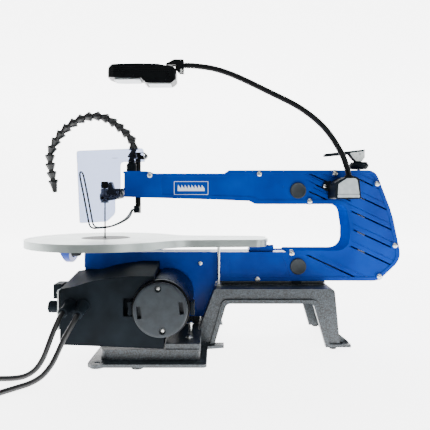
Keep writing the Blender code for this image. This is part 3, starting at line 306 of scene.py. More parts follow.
def block(name, low, high, edge=0.0, segments=2):
    corners = [(low[0], low[1]), (high[0], low[1]), (high[0], high[1]), (low[0], high[1])]
    return slab(name, "Z", low[2], high[2], corners, edge, segments)


def turned(name, axis, centre, profile, steps=40):
    """One vertex extruded along the (radius, along) profile, then spun about the axis."""
    points = [Vector(PLANES[axis](centre[0] + radius, centre[1], along)) for radius, along in profile]
    bpy.ops.object.select_all(action="DESELECT")
    bpy.ops.mesh.primitive_plane_add()
    made = bpy.context.object
    made.name = made.data.name = name
    bpy.ops.object.mode_set(mode="EDIT")
    bpy.ops.mesh.select_all(action="SELECT")
    bpy.ops.mesh.merge(type="CENTER")
    bpy.ops.transform.translate(value=points[0])
    for one, two in zip(points, points[1:]):
        bpy.ops.mesh.extrude_region_move(TRANSFORM_OT_translate={"value": two - one})
    bpy.ops.mesh.select_all(action="SELECT")
    bpy.ops.mesh.spin(steps=steps, angle=2 * math.pi, center=PLANES[axis](centre[0], centre[1], 0),
                      axis=PLANES[axis](0, 0, 1))
    bpy.ops.mesh.select_all(action="SELECT")
    bpy.ops.mesh.remove_doubles(threshold=1e-6)
    bpy.ops.mesh.normals_make_consistent(inside=False)
    bpy.ops.object.mode_set(mode="OBJECT")
    return made


def rod(name, axis, centre, radius, low, high, steps=32):
    return turned(name, axis, centre, [(0, low), (radius, low), (radius, high), (0, high)], steps)


def combine(piece, operation, tools):
    for tool in tools:
        modify(piece, "BOOLEAN", operation=operation, solver="EXACT", object=tool)
        bpy.data.objects.remove(tool)
    return piece


def cut(piece, *tools):
    return combine(piece, "DIFFERENCE", tools)


def from_frame(node, edge=0.0, segments=2):
    """A copy of a CAD piece's mesh, merged and cleared of its triangles, with its edges rounded."""
    made = bpy.data.objects.new(f"{node}_finished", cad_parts[node].data.copy())
    bpy.context.scene.collection.objects.link(made)
    choose(made)
    bpy.ops.mesh.customdata_custom_splitnormals_clear()
    bpy.ops.object.mode_set(mode="EDIT")
    bpy.ops.mesh.select_all(action="SELECT")
    bpy.ops.mesh.remove_doubles(threshold=5e-6)
    bpy.ops.mesh.dissolve_limited(angle_limit=math.radians(0.5))
    bpy.ops.object.mode_set(mode="OBJECT")
    return soften(made, edge, segments) if edge else made


def fit(piece, finish, body, slot, *nodes):
    """Gives a finished piece its material, smooth faces and body, and hides the CAD nodes it stands for."""
    piece.data.materials.clear()
    piece.data.materials.append(finish)
    choose(piece)
    bpy.ops.object.shade_smooth_by_angle(angle=math.radians(30))
    modify(piece, "WEIGHTED_NORMAL", keep_sharp=True)
    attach(piece, body)
    if nodes:
        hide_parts(*nodes)
    return piece


CELL_MM = 2.0              # width of the enamel's hammered cells
hammered, shader, spot = principled("hammered_enamel", "#2b3338", 0.38)
wobble = add(hammered, "ShaderNodeTexNoise", {"Scale": 1000 / 5, "Detail": 2.0}, {"Vector": spot})
shifted = add(hammered, "ShaderNodeVectorMath", {"operation": "MULTIPLY_ADD"}, {})
feed(wobble.outputs["Color"], shifted.inputs[0])
shifted.inputs[1].default_value = (0.003, 0.003, 0.003)
feed(spot, shifted.inputs[2])
cells = add(hammered, "ShaderNodeTexNoise", {"Scale": 1000 / CELL_MM, "Detail": 3.0, "Roughness": 0.55},
            {"Vector": shifted.outputs["Vector"]})
# The cells' colour follows the same noise as their bumps: painted highlight on the crowns, painted shade in
# the hollows.
enamel = add(hammered, "ShaderNodeValToRGB", {"stops": [(0.40, "#0b0e10"), (0.66, "#3a444b")]},
             {"Fac": cells.outputs["Fac"]})
feed(enamel.outputs["Color"], shader.inputs["Base Color"])
relief = add(hammered, "ShaderNodeBump", {"Strength": 0.7, "Distance": 0.0006},
             {"Height": cells.outputs["Fac"]})
feed(relief.outputs["Normal"], shader.inputs["Normal"])

# Moulded nitrile feet, matt and a little dusty.
foot_rubber, shader, spot = principled("foot_rubber", "#15181a", 0.75)
dust = add(foot_rubber, "ShaderNodeTexNoise", {"Scale": 1000 / 3, "Detail": 4.0}, {"Vector": spot})
tone = add(foot_rubber, "ShaderNodeValToRGB", {"stops": [(0.0, "#101214"), (1.0, "#26292b")]},
           {"Fac": dust.outputs["Fac"]})
feed(tone.outputs["Color"], shader.inputs["Base Color"])

fit(from_frame("base_casting", 0.0014, 2), hammered, "base", "cast_paint", "base_casting")
for name in ("foot_front_near", "foot_front_far", "foot_rear_near", "foot_rear_far"):
    fit(from_frame(name, 0.0006), foot_rubber, "base", "rubber", name)

# ---------------------------------------------------------------- mounting bars
# Two ground cast bars with a gap between them carry the frame on the beam; a black spacer and the
# rear hold-down bolt sit in the gap.
low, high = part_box("mounting_plate")
bars = block("mounting_bars", low, high, 0.0006)
for side in (-1, 1):
    gap_y = sorted((side * 0.020, side * 0.050))
    cut(bars, block("bar_gap", (low.x - 0.01, gap_y[0], low.z + 0.0022),
                    (high.x + 0.01, gap_y[1], high.z - 0.0020)))
fit(bars, hammered, "base", "cast_paint", "mounting_plate")

moulded, shader, spot = principled("moulded_black_abs", "#12181d", 0.5)
shader.inputs["Specular IOR Level"].default_value = 0.05
# Black ABS from a spark-eroded mould: an even fine grain that scatters the light, with faint flow marks.
GRAIN_MM = 0.9             # drawn coarser than the real 0.3 mm grain, so that it shows
grain = add(moulded, "ShaderNodeTexNoise", {"Scale": 1000 / GRAIN_MM, "Detail": 2.0}, {"Vector": spot})
flow = add(moulded, "ShaderNodeTexNoise", {"Scale": 1000 / 38, "Detail": 2.0}, {"Vector": spot})
tone = add(moulded, "ShaderNodeValToRGB", {"stops": [(0.3, "#0c1115"), (0.75, "#181f25")]},
           {"Fac": flow.outputs["Fac"]})
feed(tone.outputs["Color"], shader.inputs["Base Color"])
relief = add(moulded, "ShaderNodeBump", {"Strength": 0.25, "Distance": 0.0001},
             {"Height": grain.outputs["Fac"]})
feed(relief.outputs["Normal"], shader.inputs["Normal"])
gloss_shift = add(moulded, "ShaderNodeMapRange", {"To Min": 0.40, "To Max": 0.58},
                  {"Value": grain.outputs["Fac"]})
feed(gloss_shift.outputs["Result"], shader.inputs["Roughness"])
SPACER_X = 0.1435
fit(soften(block("frame_spacer", (SPACER_X - 0.008, -0.0350, low.z + 0.0018),
                 (SPACER_X + 0.008, -0.0330, high.z + 0.0010)),
           0.0006), moulded, "base", "black_plastic")

# ---------------------------------------------------------------- frame covers
# Two pressure-cast half shells in gloss blue powder coat, screwed together along the middle. The motor
# side has a sunk panel inside a raised lip, and pairs of slanting grooves across its rear.
FRAME_FACE = -0.030
GAP = 0.0003
powder_blue, shader, spot = principled("blue_powder_coat", "#0b4fae", 0.3)
shader.inputs["Specular IOR Level"].default_value = 0.12
peel = add(powder_blue, "ShaderNodeTexNoise", {"Scale": 1000 / 1.8, "Detail": 2.0}, {"Vector": spot})
cloud = add(powder_blue, "ShaderNodeTexNoise", {"Scale": 1000 / 45, "Detail": 3.0}, {"Vector": spot})
tone = add(powder_blue, "ShaderNodeValToRGB", {"stops": [(0.3, "#012a80"), (0.75, "#033a9a")]},
           {"Fac": cloud.outputs["Fac"]})
feed(tone.outputs["Color"], shader.inputs["Base Color"])
relief = add(powder_blue, "ShaderNodeBump", {"Strength": 0.12, "Distance": 0.0001},
             {"Height": peel.outputs["Fac"]})
feed(relief.outputs["Normal"], shader.inputs["Normal"])

near_cover = from_frame("frame_shell_near", 0.0012, 3)
PANEL_DEPTH = 0.0011
SCREWS = [(-0.0998, 0.2757), (0.0822, 0.2782), (0.2077, 0.2790), (0.2775, 0.2620), (0.1657, 0.2332),
          (0.1359, 0.1465), (0.0790, 0.1035), (0.3070, 0.1597), (0.2810, 0.1085)]
rear_panel = slab("rear_panel", "Y", FRAME_FACE - 0.002, FRAME_FACE + PANEL_DEPTH,
                  [(-0.0800, 0.2735), (0.0260, 0.2735, 0.002), (0.0335, 0.2785, 0.003),
                   (0.2720, 0.2785, 0.014),
                   (0.2975, 0.2100, 0.114), (0.3120, 0.1375, 0.024), (0.2770, 0.1066, 0.016),
                   (0.1450, 0.1066, 0.001), (0.1300, 0.1425, 0.001), (0.2300, 0.1445, 0.026),
                   (0.2400, 0.1800, 0.066), (0.2325, 0.2345, 0.022), (0.0815, 0.2345, 0.001),
                   (0.0715, 0.2395, 0.003), (0.0095, 0.2420), (-0.0800, 0.2440)], 0.0004)
for x, z in SCREWS:
    cut(rear_panel, rod("screw_boss", "Y", (x, z), 0.0066, FRAME_FACE - 0.01, FRAME_FACE + 0.01, 28))
lower_panel = slab("lower_panel", "Y", FRAME_FACE - 0.002, FRAME_FACE + PANEL_DEPTH,
                   [(0.0318, 0.1405, 0.001), (0.1215, 0.1405, 0.001), (0.1350, 0.1062, 0.001),
                    (0.0318, 0.1062, 0.001)], 0.0004)
cut(lower_panel, rod("screw_boss", "Y", SCREWS[6], 0.0066, FRAME_FACE - 0.01, FRAME_FACE + 0.01, 28))
GROOVE_SLOPE = math.radians(-25.0)
GROOVES = [(0.3000, 0.2452), (0.3000, 0.2160), (0.3000, 0.1862), (0.3000, 0.1568), (0.3000, 0.1274),
           (0.3000, 0.0790), (0.1800, 0.2585)]
grooves = []
for index, (x, z) in enumerate(GROOVES):
    for rise, half_width, depth in ((0.0, 0.0013, 0.0020), (0.0098, 0.0006, 0.0010)):
        along = Vector((math.cos(GROOVE_SLOPE), math.sin(GROOVE_SLOPE)))
        across = Vector((-along.y, along.x))
        centre = Vector((x, z + rise))
        corners = [centre + along * u + across * v for u, v in
                   ((-0.19, -half_width), (0.06, -half_width), (0.06, half_width), (-0.19, half_width))]
        grooves.append(slab(f"groove_{index}", "Y", FRAME_FACE - 0.002, FRAME_FACE + PANEL_DEPTH + depth,
                            [tuple(corner) for corner in corners]))
inside_lip = slab("inside_lip", "Y", FRAME_FACE - 0.003, FRAME_FACE + 0.006,
                  [(0.1450, 0.2780), (0.2715, 0.2780, 0.014), (0.2970, 0.2100, 0.114),
                   (0.3114, 0.1375, 0.024),
                   (0.2768, 0.1071, 0.016), (0.1640, 0.1071), (0.1560, 0.1435), (0.2303, 0.1440, 0.026),
                   (0.2405, 0.1800, 0.066), (0.2330, 0.2350, 0.022), (0.1500, 0.2350), (0.1760, 0.2600)])
for x, z in SCREWS:
    cut(inside_lip, rod("screw_boss", "Y", (x, z), 0.0070, FRAME_FACE - 0.01, FRAME_FACE + 0.01, 28))
for groove in grooves:
    modify(groove, "BOOLEAN", operation="INTERSECT", solver="EXACT", object=inside_lip)
bpy.data.objects.remove(inside_lip)
nose_chamfer = slab("nose_chamfer", "Z", 0.2380, 0.2900,
                    [(-0.1470, -0.0312), (-0.1392, -0.0312), (-0.1392, -0.0300),
                     (-0.1456, -0.0258), (-0.1470, -0.0258)])
cut(near_cover, rear_panel, lower_panel, nose_chamfer, *grooves)
cut(near_cover, rod("plug_hole", "Y", (0.1216, 0.2566), 0.0017, FRAME_FACE - 0.004, FRAME_FACE + 0.002, 20))
fit(near_cover, powder_blue, "base", "blue_paint", "frame_shell_near")
far_cover = fit(from_frame("frame_shell_far", 0.0012, 3), powder_blue, "base", "blue_paint",
                "frame_shell_far")
# The walls inside the throat take a copy of the coat without specular reflection: painted shade, which
# keeps them as dark as the shade in the throat.
throat_shade_blue = powder_blue.copy()
throat_shade_blue.name = "blue_powder_coat_throat_shade"
throat_shade_blue.node_tree.nodes["Principled BSDF"].inputs["Specular IOR Level"].default_value = 0.0
for cover in (near_cover, far_cover):
    cover.data.materials.append(throat_shade_blue)
    for face in cover.data.polygons:
        in_throat = -0.14 < face.center.x < 0.25 and 0.135 < face.center.z < 0.245
        if in_throat and abs(face.normal.y) < 0.5:
            face.material_index = 1

# ---------------------------------------------------------------- cover screws
# Nickel-plated pan-head screws with a cross recess, on small raised bosses. The same head, larger or
# smaller, holds the lamp box, the motor cap and the base.
nickel, shader, spot = principled("nickel_plate", "#d7d9d6", 0.24, 1.0)
turning = add(nickel, "ShaderNodeTexNoise", {"Scale": 1000 / 1.2, "Detail": 2.0}, {"Vector": spot})
shine = add(nickel, "ShaderNodeMapRange", {"To Min": 0.18, "To Max": 0.36},
            {"Value": turning.outputs["Fac"]})
feed(shine.outputs["Result"], shader.inputs["Roughness"])

pattern_screw = turned("pattern_screw", "Y", (0, 0),
                       [(0, 0.2), (1.0, 0.2), (1.0, -0.10), (0.90, -0.34), (0.62, -0.50), (0.30, -0.57),
                        (0, -0.58)], 28)
cut(pattern_screw, block("slot_one", (-0.13, -0.8, -0.56), (0.13, -0.22, 0.56)),
    block("slot_two", (-0.56, -0.8, -0.13), (0.56, -0.22, 0.13)))


def screw(name, place, radius, axis="-Y", turn=0.0, body="base", slot="steel"):
    """A copy of the pattern screw of that radius, its seat at place, facing along the axis."""
    made = bpy.data.objects.new(name, pattern_screw.data.copy())
    bpy.context.scene.collection.objects.link(made)
    facing = {"-Y": Matrix(), "+Z": Matrix.Rotation(math.radians(-90), 4, "X"),
              "+X": Matrix.Rotation(math.radians(90), 4, "Z"),
              "+Y": Matrix.Rotation(math.radians(180), 4, "Z"),
              "-X": Matrix.Rotation(math.radians(-90), 4, "Z")}[axis]
    made.data.transform(Matrix.Translation(place) @ facing @ Matrix.Rotation(turn, 4,
                                                                             "Y") @ Matrix.Scale(radius, 4))
    return fit(made, nickel, body, slot)


for index, (x, z) in enumerate(SCREWS):
    fit(turned(f"screw_seat_{index}", "Y", (x, z),
               [(0, FRAME_FACE + 0.0035), (0.0060, FRAME_FACE + 0.0035), (0.0060, FRAME_FACE - 0.0001),
                (0.0056, FRAME_FACE - 0.0005), (0, FRAME_FACE - 0.0005)], 28), powder_blue, "base",
        "blue_paint")
    screw(f"cover_screw_{index}", (x, FRAME_FACE - 0.0010, z), 0.0045, turn=0.7 * index)
screw("apron_screw", (-0.0159, FRAME_FACE - 0.0007, 0.1297), 0.0036, turn=0.4)

# ---------------------------------------------------------------- pivot caps and print
# The arms rock on two bolts under round plastic caps. A plain printed frame with a row of saw teeth
# decorates the arm.
cap_plastic, shader, spot = principled("pivot_cap_plastic", "#1c2328", 0.5)
shader.inputs["Specular IOR Level"].default_value = 0.35
mottle = add(cap_plastic, "ShaderNodeTexNoise", {"Scale": 1000 / 9, "Detail": 4.0}, {"Vector": spot})
tone = add(cap_plastic, "ShaderNodeValToRGB", {"stops": [(0.3, "#171d22"), (0.7, "#222a30")]},
           {"Fac": mottle.outputs["Fac"]})
feed(tone.outputs["Color"], shader.inputs["Base Color"])
for name in ("upper_pivot_pin", "lower_pivot_pin"):
    low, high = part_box(name)
    centre = ((low.x + high.x) / 2, (low.z + high.z) / 2)
    fit(turned(f"{name}_cap", "Y", centre,
               [(0, -0.0315), (0.0100, -0.0318), (0.0116, -0.0326), (0.0129, -0.0323), (0.0135, -0.0314),
                (0.0135, FRAME_FACE - GAP), (0.0050, FRAME_FACE - GAP), (0.0050, 0.0303), (0.0080, 0.0303),
                (0.0080, 0.0330), (0.0074, 0.0335), (0, 0.0335)], 48), cap_plastic, "base", "black_plastic",
        name)

printing, shader, spot = principled("white_print", "#dfe7f4", 0.55)
ink = add(printing, "ShaderNodeTexNoise", {"Scale": 1000 / 0.8, "Detail": 1.0}, {"Vector": spot})
tone = add(printing, "ShaderNodeValToRGB", {"stops": [(0.0, "#cdd8ea"), (1.0, "#f2f6fb")]},
           {"Fac": ink.outputs["Fac"]})
feed(tone.outputs["Color"], shader.inputs["Base Color"])
PRINT_X, PRINT_Z, PRINT_HALF_X, PRINT_HALF_Z, LINE = -0.0312, 0.2548, 0.0285, 0.0112, 0.0008
PRINT_FACE = FRAME_FACE + PANEL_DEPTH
print_low, print_high = PRINT_FACE - 0.00015, PRINT_FACE + 0.0002
frame_print = slab("arm_print", "Y", print_low, print_high,
                   [(PRINT_X - PRINT_HALF_X, PRINT_Z - PRINT_HALF_Z, 0.001),
                    (PRINT_X + PRINT_HALF_X, PRINT_Z - PRINT_HALF_Z, 0.001),
                    (PRINT_X + PRINT_HALF_X, PRINT_Z + PRINT_HALF_Z, 0.001),
                    (PRINT_X - PRINT_HALF_X, PRINT_Z + PRINT_HALF_Z, 0.001)])
cut(frame_print, slab("print_middle", "Y", print_low - 0.001, print_high + 0.001,
                      [(PRINT_X - PRINT_HALF_X + LINE, PRINT_Z - PRINT_HALF_Z + LINE),
                       (PRINT_X + PRINT_HALF_X - LINE, PRINT_Z - PRINT_HALF_Z + LINE),
                       (PRINT_X + PRINT_HALF_X - LINE, PRINT_Z + PRINT_HALF_Z - LINE),
                       (PRINT_X - PRINT_HALF_X + LINE, PRINT_Z + PRINT_HALF_Z - LINE)]))
fit(frame_print, printing, "base", "white_plastic")
TEETH = 8
outline = []
for tooth in range(TEETH + 1):
    outline.append((PRINT_X - 0.0225 + 0.0450 * tooth / TEETH, PRINT_Z - 0.0010))
    if tooth < TEETH:
        outline.append((PRINT_X - 0.0225 + 0.0450 * (tooth + 0.15) / TEETH, PRINT_Z + 0.0055))
outline += [(PRINT_X + 0.0225, PRINT_Z - 0.0050), (PRINT_X - 0.0225, PRINT_Z - 0.0050)]
fit(slab("arm_print_teeth", "Y", print_low, print_high, outline), printing, "base", "white_plastic")
# ---------------------------------------------------------------- rocking arms
# Two pressure-cast alloy arms rock on the pivot bolts, dark and slightly rough as cast. The upper one
# ends in a nickel-plated clevis, and a ground steel strip with a small screw runs back along its side.
BLADE_X = -0.1815
CLEVIS_X = -0.1764
cast_alloy, shader, spot = principled("as_cast_alloy", "#4c5359", 0.45, 0.85)
skin = add(cast_alloy, "ShaderNodeTexNoise", {"Scale": 1000 / 1.5, "Detail": 3.0}, {"Vector": spot})
tone = add(cast_alloy, "ShaderNodeValToRGB", {"stops": [(0.0, "#3a4046"), (1.0, "#656d73")]},
           {"Fac": skin.outputs["Fac"]})
feed(tone.outputs["Color"], shader.inputs["Base Color"])
relief = add(cast_alloy, "ShaderNodeBump", {"Strength": 0.4, "Distance": 0.0002},
             {"Height": skin.outputs["Fac"]})
feed(relief.outputs["Normal"], shader.inputs["Normal"])

# Cold-drawn bright steel: fine lines along the bar and a satin shine.
bright_steel, shader, spot = principled("bright_steel", "#a9adaf", 0.3, 1.0)
stretch = add(bright_steel, "ShaderNodeMapping", {"Scale": (1.0, 1.0, 0.06)}, {"Vector": spot})
drawn = add(bright_steel, "ShaderNodeTexNoise", {"Scale": 1000 / 0.6, "Detail": 2.0},
            {"Vector": stretch.outputs["Vector"]})
shine = add(bright_steel, "ShaderNodeMapRange", {"To Min": 0.2, "To Max": 0.4},
            {"Value": drawn.outputs["Fac"]})
feed(shine.outputs["Result"], shader.inputs["Roughness"])

clevis_space = block("clevis_space", (-0.200, -0.020, 0.220), (CLEVIS_X, 0.020, 0.290))
clevis = modify(from_frame("upper_arm"), "BOOLEAN", operation="INTERSECT", solver="EXACT",
                object=clevis_space)
fit(soften(clevis, 0.0005), nickel, "upper_rocker", "steel")
fit(soften(cut(from_frame("upper_arm"), clevis_space), 0.0006), cast_alloy, "upper_rocker", "arm_alloy",
    "upper_arm")
fit(block("arm_strip", (CLEVIS_X + 0.0001, -0.0096, 0.2385), (-0.1476, -0.0080, 0.2442), 0.0004), nickel,
    "upper_rocker", "steel")
screw("strip_screw", (-0.1575, -0.0080, 0.2482), 0.0023, turn=0.3, body="upper_rocker")
fit(turned("clevis_pin", "Y", (BLADE_X - 0.0022, 0.2390),
           [(0, -0.0080), (0.0026, -0.0080), (0.0026, -0.0092), (0.0020, -0.0098), (0, -0.0098)], 24),
    moulded, "upper_rocker", "black_plastic")
fit(from_frame("lower_arm", 0.0006), cast_alloy, "lower_rocker", "arm_alloy", "lower_arm")

# ---------------------------------------------------------------- blade and its clamps
# A pinned clamp block swings in each arm's tip and grips a plain-end blade of dark hardened spring
# steel, toothed towards the front. A knurled plastic-headed screw closes each clamp.
for name, body in (("blade_holder_upper", "upper_holder"), ("blade_holder_lower", "lower_holder")):
    fit(from_frame(name, 0.0005), bright_steel, body, "steel", name)
spring_steel, shader, spot = principled("hardened_spring_steel", "#54595d", 0.34, 1.0)
temper = add(spring_steel, "ShaderNodeTexNoise", {"Scale": 1000 / 4, "Detail": 2.0}, {"Vector": spot})
tone = add(spring_steel, "ShaderNodeValToRGB", {"stops": [(0.0, "#43484d"), (1.0, "#6b6f70")]},
           {"Fac": temper.outputs["Fac"]})
feed(tone.outputs["Color"], shader.inputs["Base Color"])
low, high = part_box("blade")
TOOTH_PITCH = 0.0020
outline = [(high.x, high.z), (high.x, low.z)]
teeth = int((high.z - low.z - 0.030) / TOOTH_PITCH)
outline.append((low.x, low.z))
for tooth in range(teeth):
    foot = low.z + 0.015 + tooth * TOOTH_PITCH
    outline += [(low.x, foot), (low.x + 0.0009, foot + TOOTH_PITCH * 0.35)]
outline.append((low.x, high.z))
fit(slab("toothed_blade", "Y", low.y, high.y, outline), spring_steel, "upper_holder", "steel", "blade")


def knurled(name, axis, centre, profile, radius, low, high, ribs):
    """A turned knob with straight grooves cut along its rim."""
    knob = turned(name, axis, centre, profile, 3 * ribs)
    cutters = []
    for rib in range(ribs):
        angle = 2 * math.pi * rib / ribs
        place = (centre[0] + radius * math.cos(angle), centre[1] + radius * math.sin(angle))
        cutters.append(rod("knurl", axis, place, radius * 1.6 / ribs, low, high, 8))
    choose(cutters[0])
    for cutter in cutters:
        cutter.select_set(True)
    bpy.ops.object.join()
    return cut(knob, cutters[0])


fit(knurled("upper_thumb_screw_head", "Z", (BLADE_X, 0),
            [(0, 0.2470), (0.0020, 0.2470), (0.0020, 0.2550), (0.0058, 0.2550), (0.0065, 0.2556),
             (0.0065, 0.2652), (0.0055, 0.2665), (0, 0.2665)], 0.0068, 0.2540, 0.2680, 18),
    moulded, "upper_thumb_screw", "black_plastic", "thumb_screw_upper")
fit(knurled("lower_thumb_screw_head", "X", (0, 0.1185),
            [(0, -0.1840), (0.0020, -0.1840), (0.0020, -0.1895), (0.0050, -0.1895), (0.0055, -0.1901),
             (0.0055, -0.1978), (0.0045, -0.1990), (0, -0.1990)], 0.0058, -0.2000, -0.1888, 16),
    moulded, "lower_thumb_screw", "black_plastic", "thumb_screw_lower")

# ---------------------------------------------------------------- rear link, tension knob and lever
# A steel strap joins the arms' tails. Its threaded rod comes up through the frame and carries a moulded
# knob and, above it, a quick-release lever: pale plated cam cheeks with a black dipped handle.
LINK_X, LEVER_Z = 0.2565, 0.3135
fit(from_frame("rear_link", 0.0004), bright_steel, "tail_link", "steel", "rear_link")
fit(turned("tension_wheel", "Z", (LINK_X, 0),
           [(0.0033, 0.2880), (0.0125, 0.2880), (0.0135, 0.2884), (0.0150, 0.2902), (0.0162, 0.2922),
            (0.0166, 0.2940), (0.0162, 0.2960), (0.0150, 0.2976), (0.0132, 0.2983), (0.0130, 0.2985),
            (0.0142, 0.2988), (0.0145, 0.2994), (0.0140, 0.2998), (0.0033, 0.2998), (0.0033, 0.2880)], 64),
    moulded, "tension_knob", "rubber", "tension_knob")
pale_plate, shader, spot = principled("pale_zinc_plate", "#cfd5d3", 0.42, 0.35)
spangle = add(pale_plate, "ShaderNodeTexNoise", {"Scale": 1000 / 3, "Detail": 3.0}, {"Vector": spot})
tone = add(pale_plate, "ShaderNodeValToRGB", {"stops": [(0.3, "#bcc4c3"), (0.7, "#e2e6e4")]},
           {"Fac": spangle.outputs["Fac"]})
feed(tone.outputs["Color"], shader.inputs["Base Color"])
CHEEK = [(0.2395, 0.3155, 0.001), (0.2448, 0.3072, 0.002), (0.2505, 0.3014, 0.003), (0.2600, 0.3014, 0.005),
         (0.2648, 0.3084, 0.003), (0.2643, 0.3186, 0.001)]
LINER = [(0.2365, 0.3160), (0.2440, 0.3060, 0.002), (0.2500, 0.3004, 0.003), (0.2600, 0.3004, 0.005),
         (0.2655, 0.3080, 0.003), (0.2652, 0.3204, 0.001), (0.2400, 0.3178)]
for side in (-1, 1):
    inner, outer = sorted((side * 0.0045, side * 0.0056))
    liner = slab("cam_liner", "Y", inner, outer, LINER)
    cut(liner, rod("cam_pin_hole", "Y", (LINK_X, LEVER_Z), 0.0023, -0.010, 0.010))
    fit(soften(liner, 0.0003), moulded, "tension_lever", "rubber")
    inner, outer = sorted((side * 0.0057, side * 0.0068))
    cheek = slab("cam_cheek", "Y", inner, outer, CHEEK)
    cut(cheek, rod("cam_pin_hole", "Y", (LINK_X, LEVER_Z), 0.0018, -0.010, 0.010),
        rod("cam_dimple", "Y", (LINK_X - 0.0002, LEVER_Z - 0.0045), 0.0009, side * 0.0063, side * 0.0080,
            16))
    fit(soften(cheek, 0.0003), pale_plate, "tension_lever", "steel")
handle = slab("lever_handle", "Y", -0.0068, 0.0068,
              [(0.1965, 0.3093, 0.0015), (0.1970, 0.3142, 0.0015), (0.2655, 0.3218, 0.001), (0.2655, 0.3192),
               (0.2500, 0.3172), (0.2350, 0.3128)], 0.0008, 3)
fit(cut(handle, block("handle_gap", (0.2450, -0.0042, 0.3000), (0.2700, 0.0042, 0.3190))), moulded,
    "tension_lever", "rubber", "tension_lever")

# ---------------------------------------------------------------- motor and crank
# A brushed motor in a gloss-black enamelled can lies across the frame. A moulded cap with two vents
# closes its outer end, held by two screws in deep wells, and brush holders stick out on both sides.
MOTOR_X, MOTOR_Z = -0.0675, 0.082
gloss_enamel, shader, spot = principled("gloss_black_enamel", "#07090b", 0.3)
shader.inputs["Specular IOR Level"].default_value = 0.12
ripple = add(gloss_enamel, "ShaderNodeTexNoise", {"Scale": 1000 / 12, "Detail": 2.0}, {"Vector": spot})
shine = add(gloss_enamel, "ShaderNodeMapRange", {"To Min": 0.22, "To Max": 0.36},
            {"Value": ripple.outputs["Fac"]})
feed(shine.outputs["Result"], shader.inputs["Roughness"])
relief = add(gloss_enamel, "ShaderNodeBump", {"Strength": 0.08, "Distance": 0.0004},
             {"Height": ripple.outputs["Fac"]})
feed(relief.outputs["Normal"], shader.inputs["Normal"])
can = turned("motor_can", "Y", (MOTOR_X, MOTOR_Z),
             [(0.0370, -0.1500), (0.0398, -0.1500), (0.0408, -0.1496), (0.0410, -0.1486), (0.0410, -0.1405),
              (0.0400, -0.1400), (0.0400, -0.1380), (0.0410, -0.1375), (0.0410, -0.0362), (0.0405, -0.0352),
              (0.0360, -0.0303), (0.0060, -0.0303), (0.0060, -0.0370), (0.0370, -0.0370), (0.0370, -0.1500)],
             96)
fit(can, gloss_enamel, "base", "gloss_black", "motor_housing")
for side in (-1, 1):
    low_x, high_x = sorted((MOTOR_X + side * 0.0412, MOTOR_X + side * 0.0470))
    holder = block("brush_holder", (low_x, -0.1480, 0.0725), (high_x, -0.1300, 0.0915), 0.0010, 2)
    cut(holder, block("brush_slot", (MOTOR_X + side * 0.0470 - 0.0008, -0.150, 0.0800),
                      (MOTOR_X + side * 0.0470 + 0.0008, -0.125, 0.0840)))
    fit(holder, moulded, "base", "black_plastic")
cap = turned("motor_end_disc", "Y", (MOTOR_X, MOTOR_Z),
             [(0, -0.1596), (0.0335, -0.1600), (0.0362, -0.1600), (0.0374, -0.1594), (0.0380, -0.1584),
              (0.0380, -0.1503), (0, -0.1503)], 96)
CAP_TURN = Matrix.Rotation(math.radians(6), 2)
cutters = []
for side in (-1, 1):
    corners = [Vector((MOTOR_X, MOTOR_Z)) + CAP_TURN @ Vector((side * 0.0295 + u, v)) for u, v in
               ((-0.0030, -0.0085), (0.0030, -0.0085), (0.0030, 0.0085), (-0.0030, 0.0085))]
    cutters.append(slab("cap_vent", "Y", -0.165, -0.1518, [tuple(corner) for corner in corners]))
CAP_SCREWS = [(-0.0707, 0.1117), (-0.0643, 0.0532)]
for x, z in CAP_SCREWS:
    cutters.append(rod("cap_well", "Y", (x, z), 0.0049, -0.165, -0.1555))
fit(soften(cut(cap, *cutters), 0.0005), cap_plastic, "base", "black_plastic", "motor_end_cap")
for index, (x, z) in enumerate(CAP_SCREWS):
    screw(f"cap_screw_{index}", (x, -0.1556, z), 0.0032, turn=0.5 + index)
fit(from_frame("motor_rotor", 0.0004), bright_steel, "motor_shaft", "steel", "motor_rotor")
fit(from_frame("connecting_rod", 0.0004), cast_alloy, "crank_rod", "arm_alloy", "connecting_rod")

# ---------------------------------------------------------------- control box
# A moulded ABS housing covers the motor's front half. Its face swells a little, two cone-shaped strain
# reliefs lead the cords out, and the switch and the speed knob sit on a plate at its left end.
housing = from_frame("control_box", 0.0026, 4)
fit(housing, moulded, "base", "black_plastic", "control_box")
for name, root, tip in (("mains", Vector((-0.1975, -0.1404, 0.0850)), MAINS_EXIT),
                        ("second", Vector((-0.1793, -0.1404, 0.0845)), SECOND_EXIT)):
    along = tip - root
    length = along.length
    relief_cone = turned(f"strain_relief_{name}", "Z", (0, 0),
                         [(0, 0.0), (0.0098, 0.0), (0.0086, 0.0025), (0.0072, 0.4 * length),
                          (0.0064, 0.86 * length), (0.0068, 0.88 * length), (0.0068, 0.97 * length),
                          (0.0060, length), (0, length)], 40)
    relief_cone.data.transform(Matrix.Translation(root) @ along.to_track_quat("Z", "X").to_matrix().to_4x4())
    fit(relief_cone, moulded, "base", "rubber", f"cord_gland_{name}")
fit(block("inner_rib", (-0.1300, -0.1236, 0.0640), (-0.1094, -0.1216, 0.1000)), moulded, "base",
    "black_plastic")
brushed_plate, shader, spot = principled("brushed_aluminium_plate", "#c9cecd", 0.35, 1.0)
stretch = add(brushed_plate, "ShaderNodeMapping", {"Scale": (1.0, 0.03, 1.0)}, {"Vector": spot})
brushing = add(brushed_plate, "ShaderNodeTexNoise", {"Scale": 1000 / 0.5, "Detail": 2.0},
               {"Vector": stretch.outputs["Vector"]})
shine = add(brushed_plate, "ShaderNodeMapRange", {"To Min": 0.26, "To Max": 0.46},
            {"Value": brushing.outputs["Fac"]})
feed(shine.outputs["Result"], shader.inputs["Roughness"])
fit(from_frame("control_panel", 0.0005), brushed_plate, "base", "table_alloy", "control_panel")
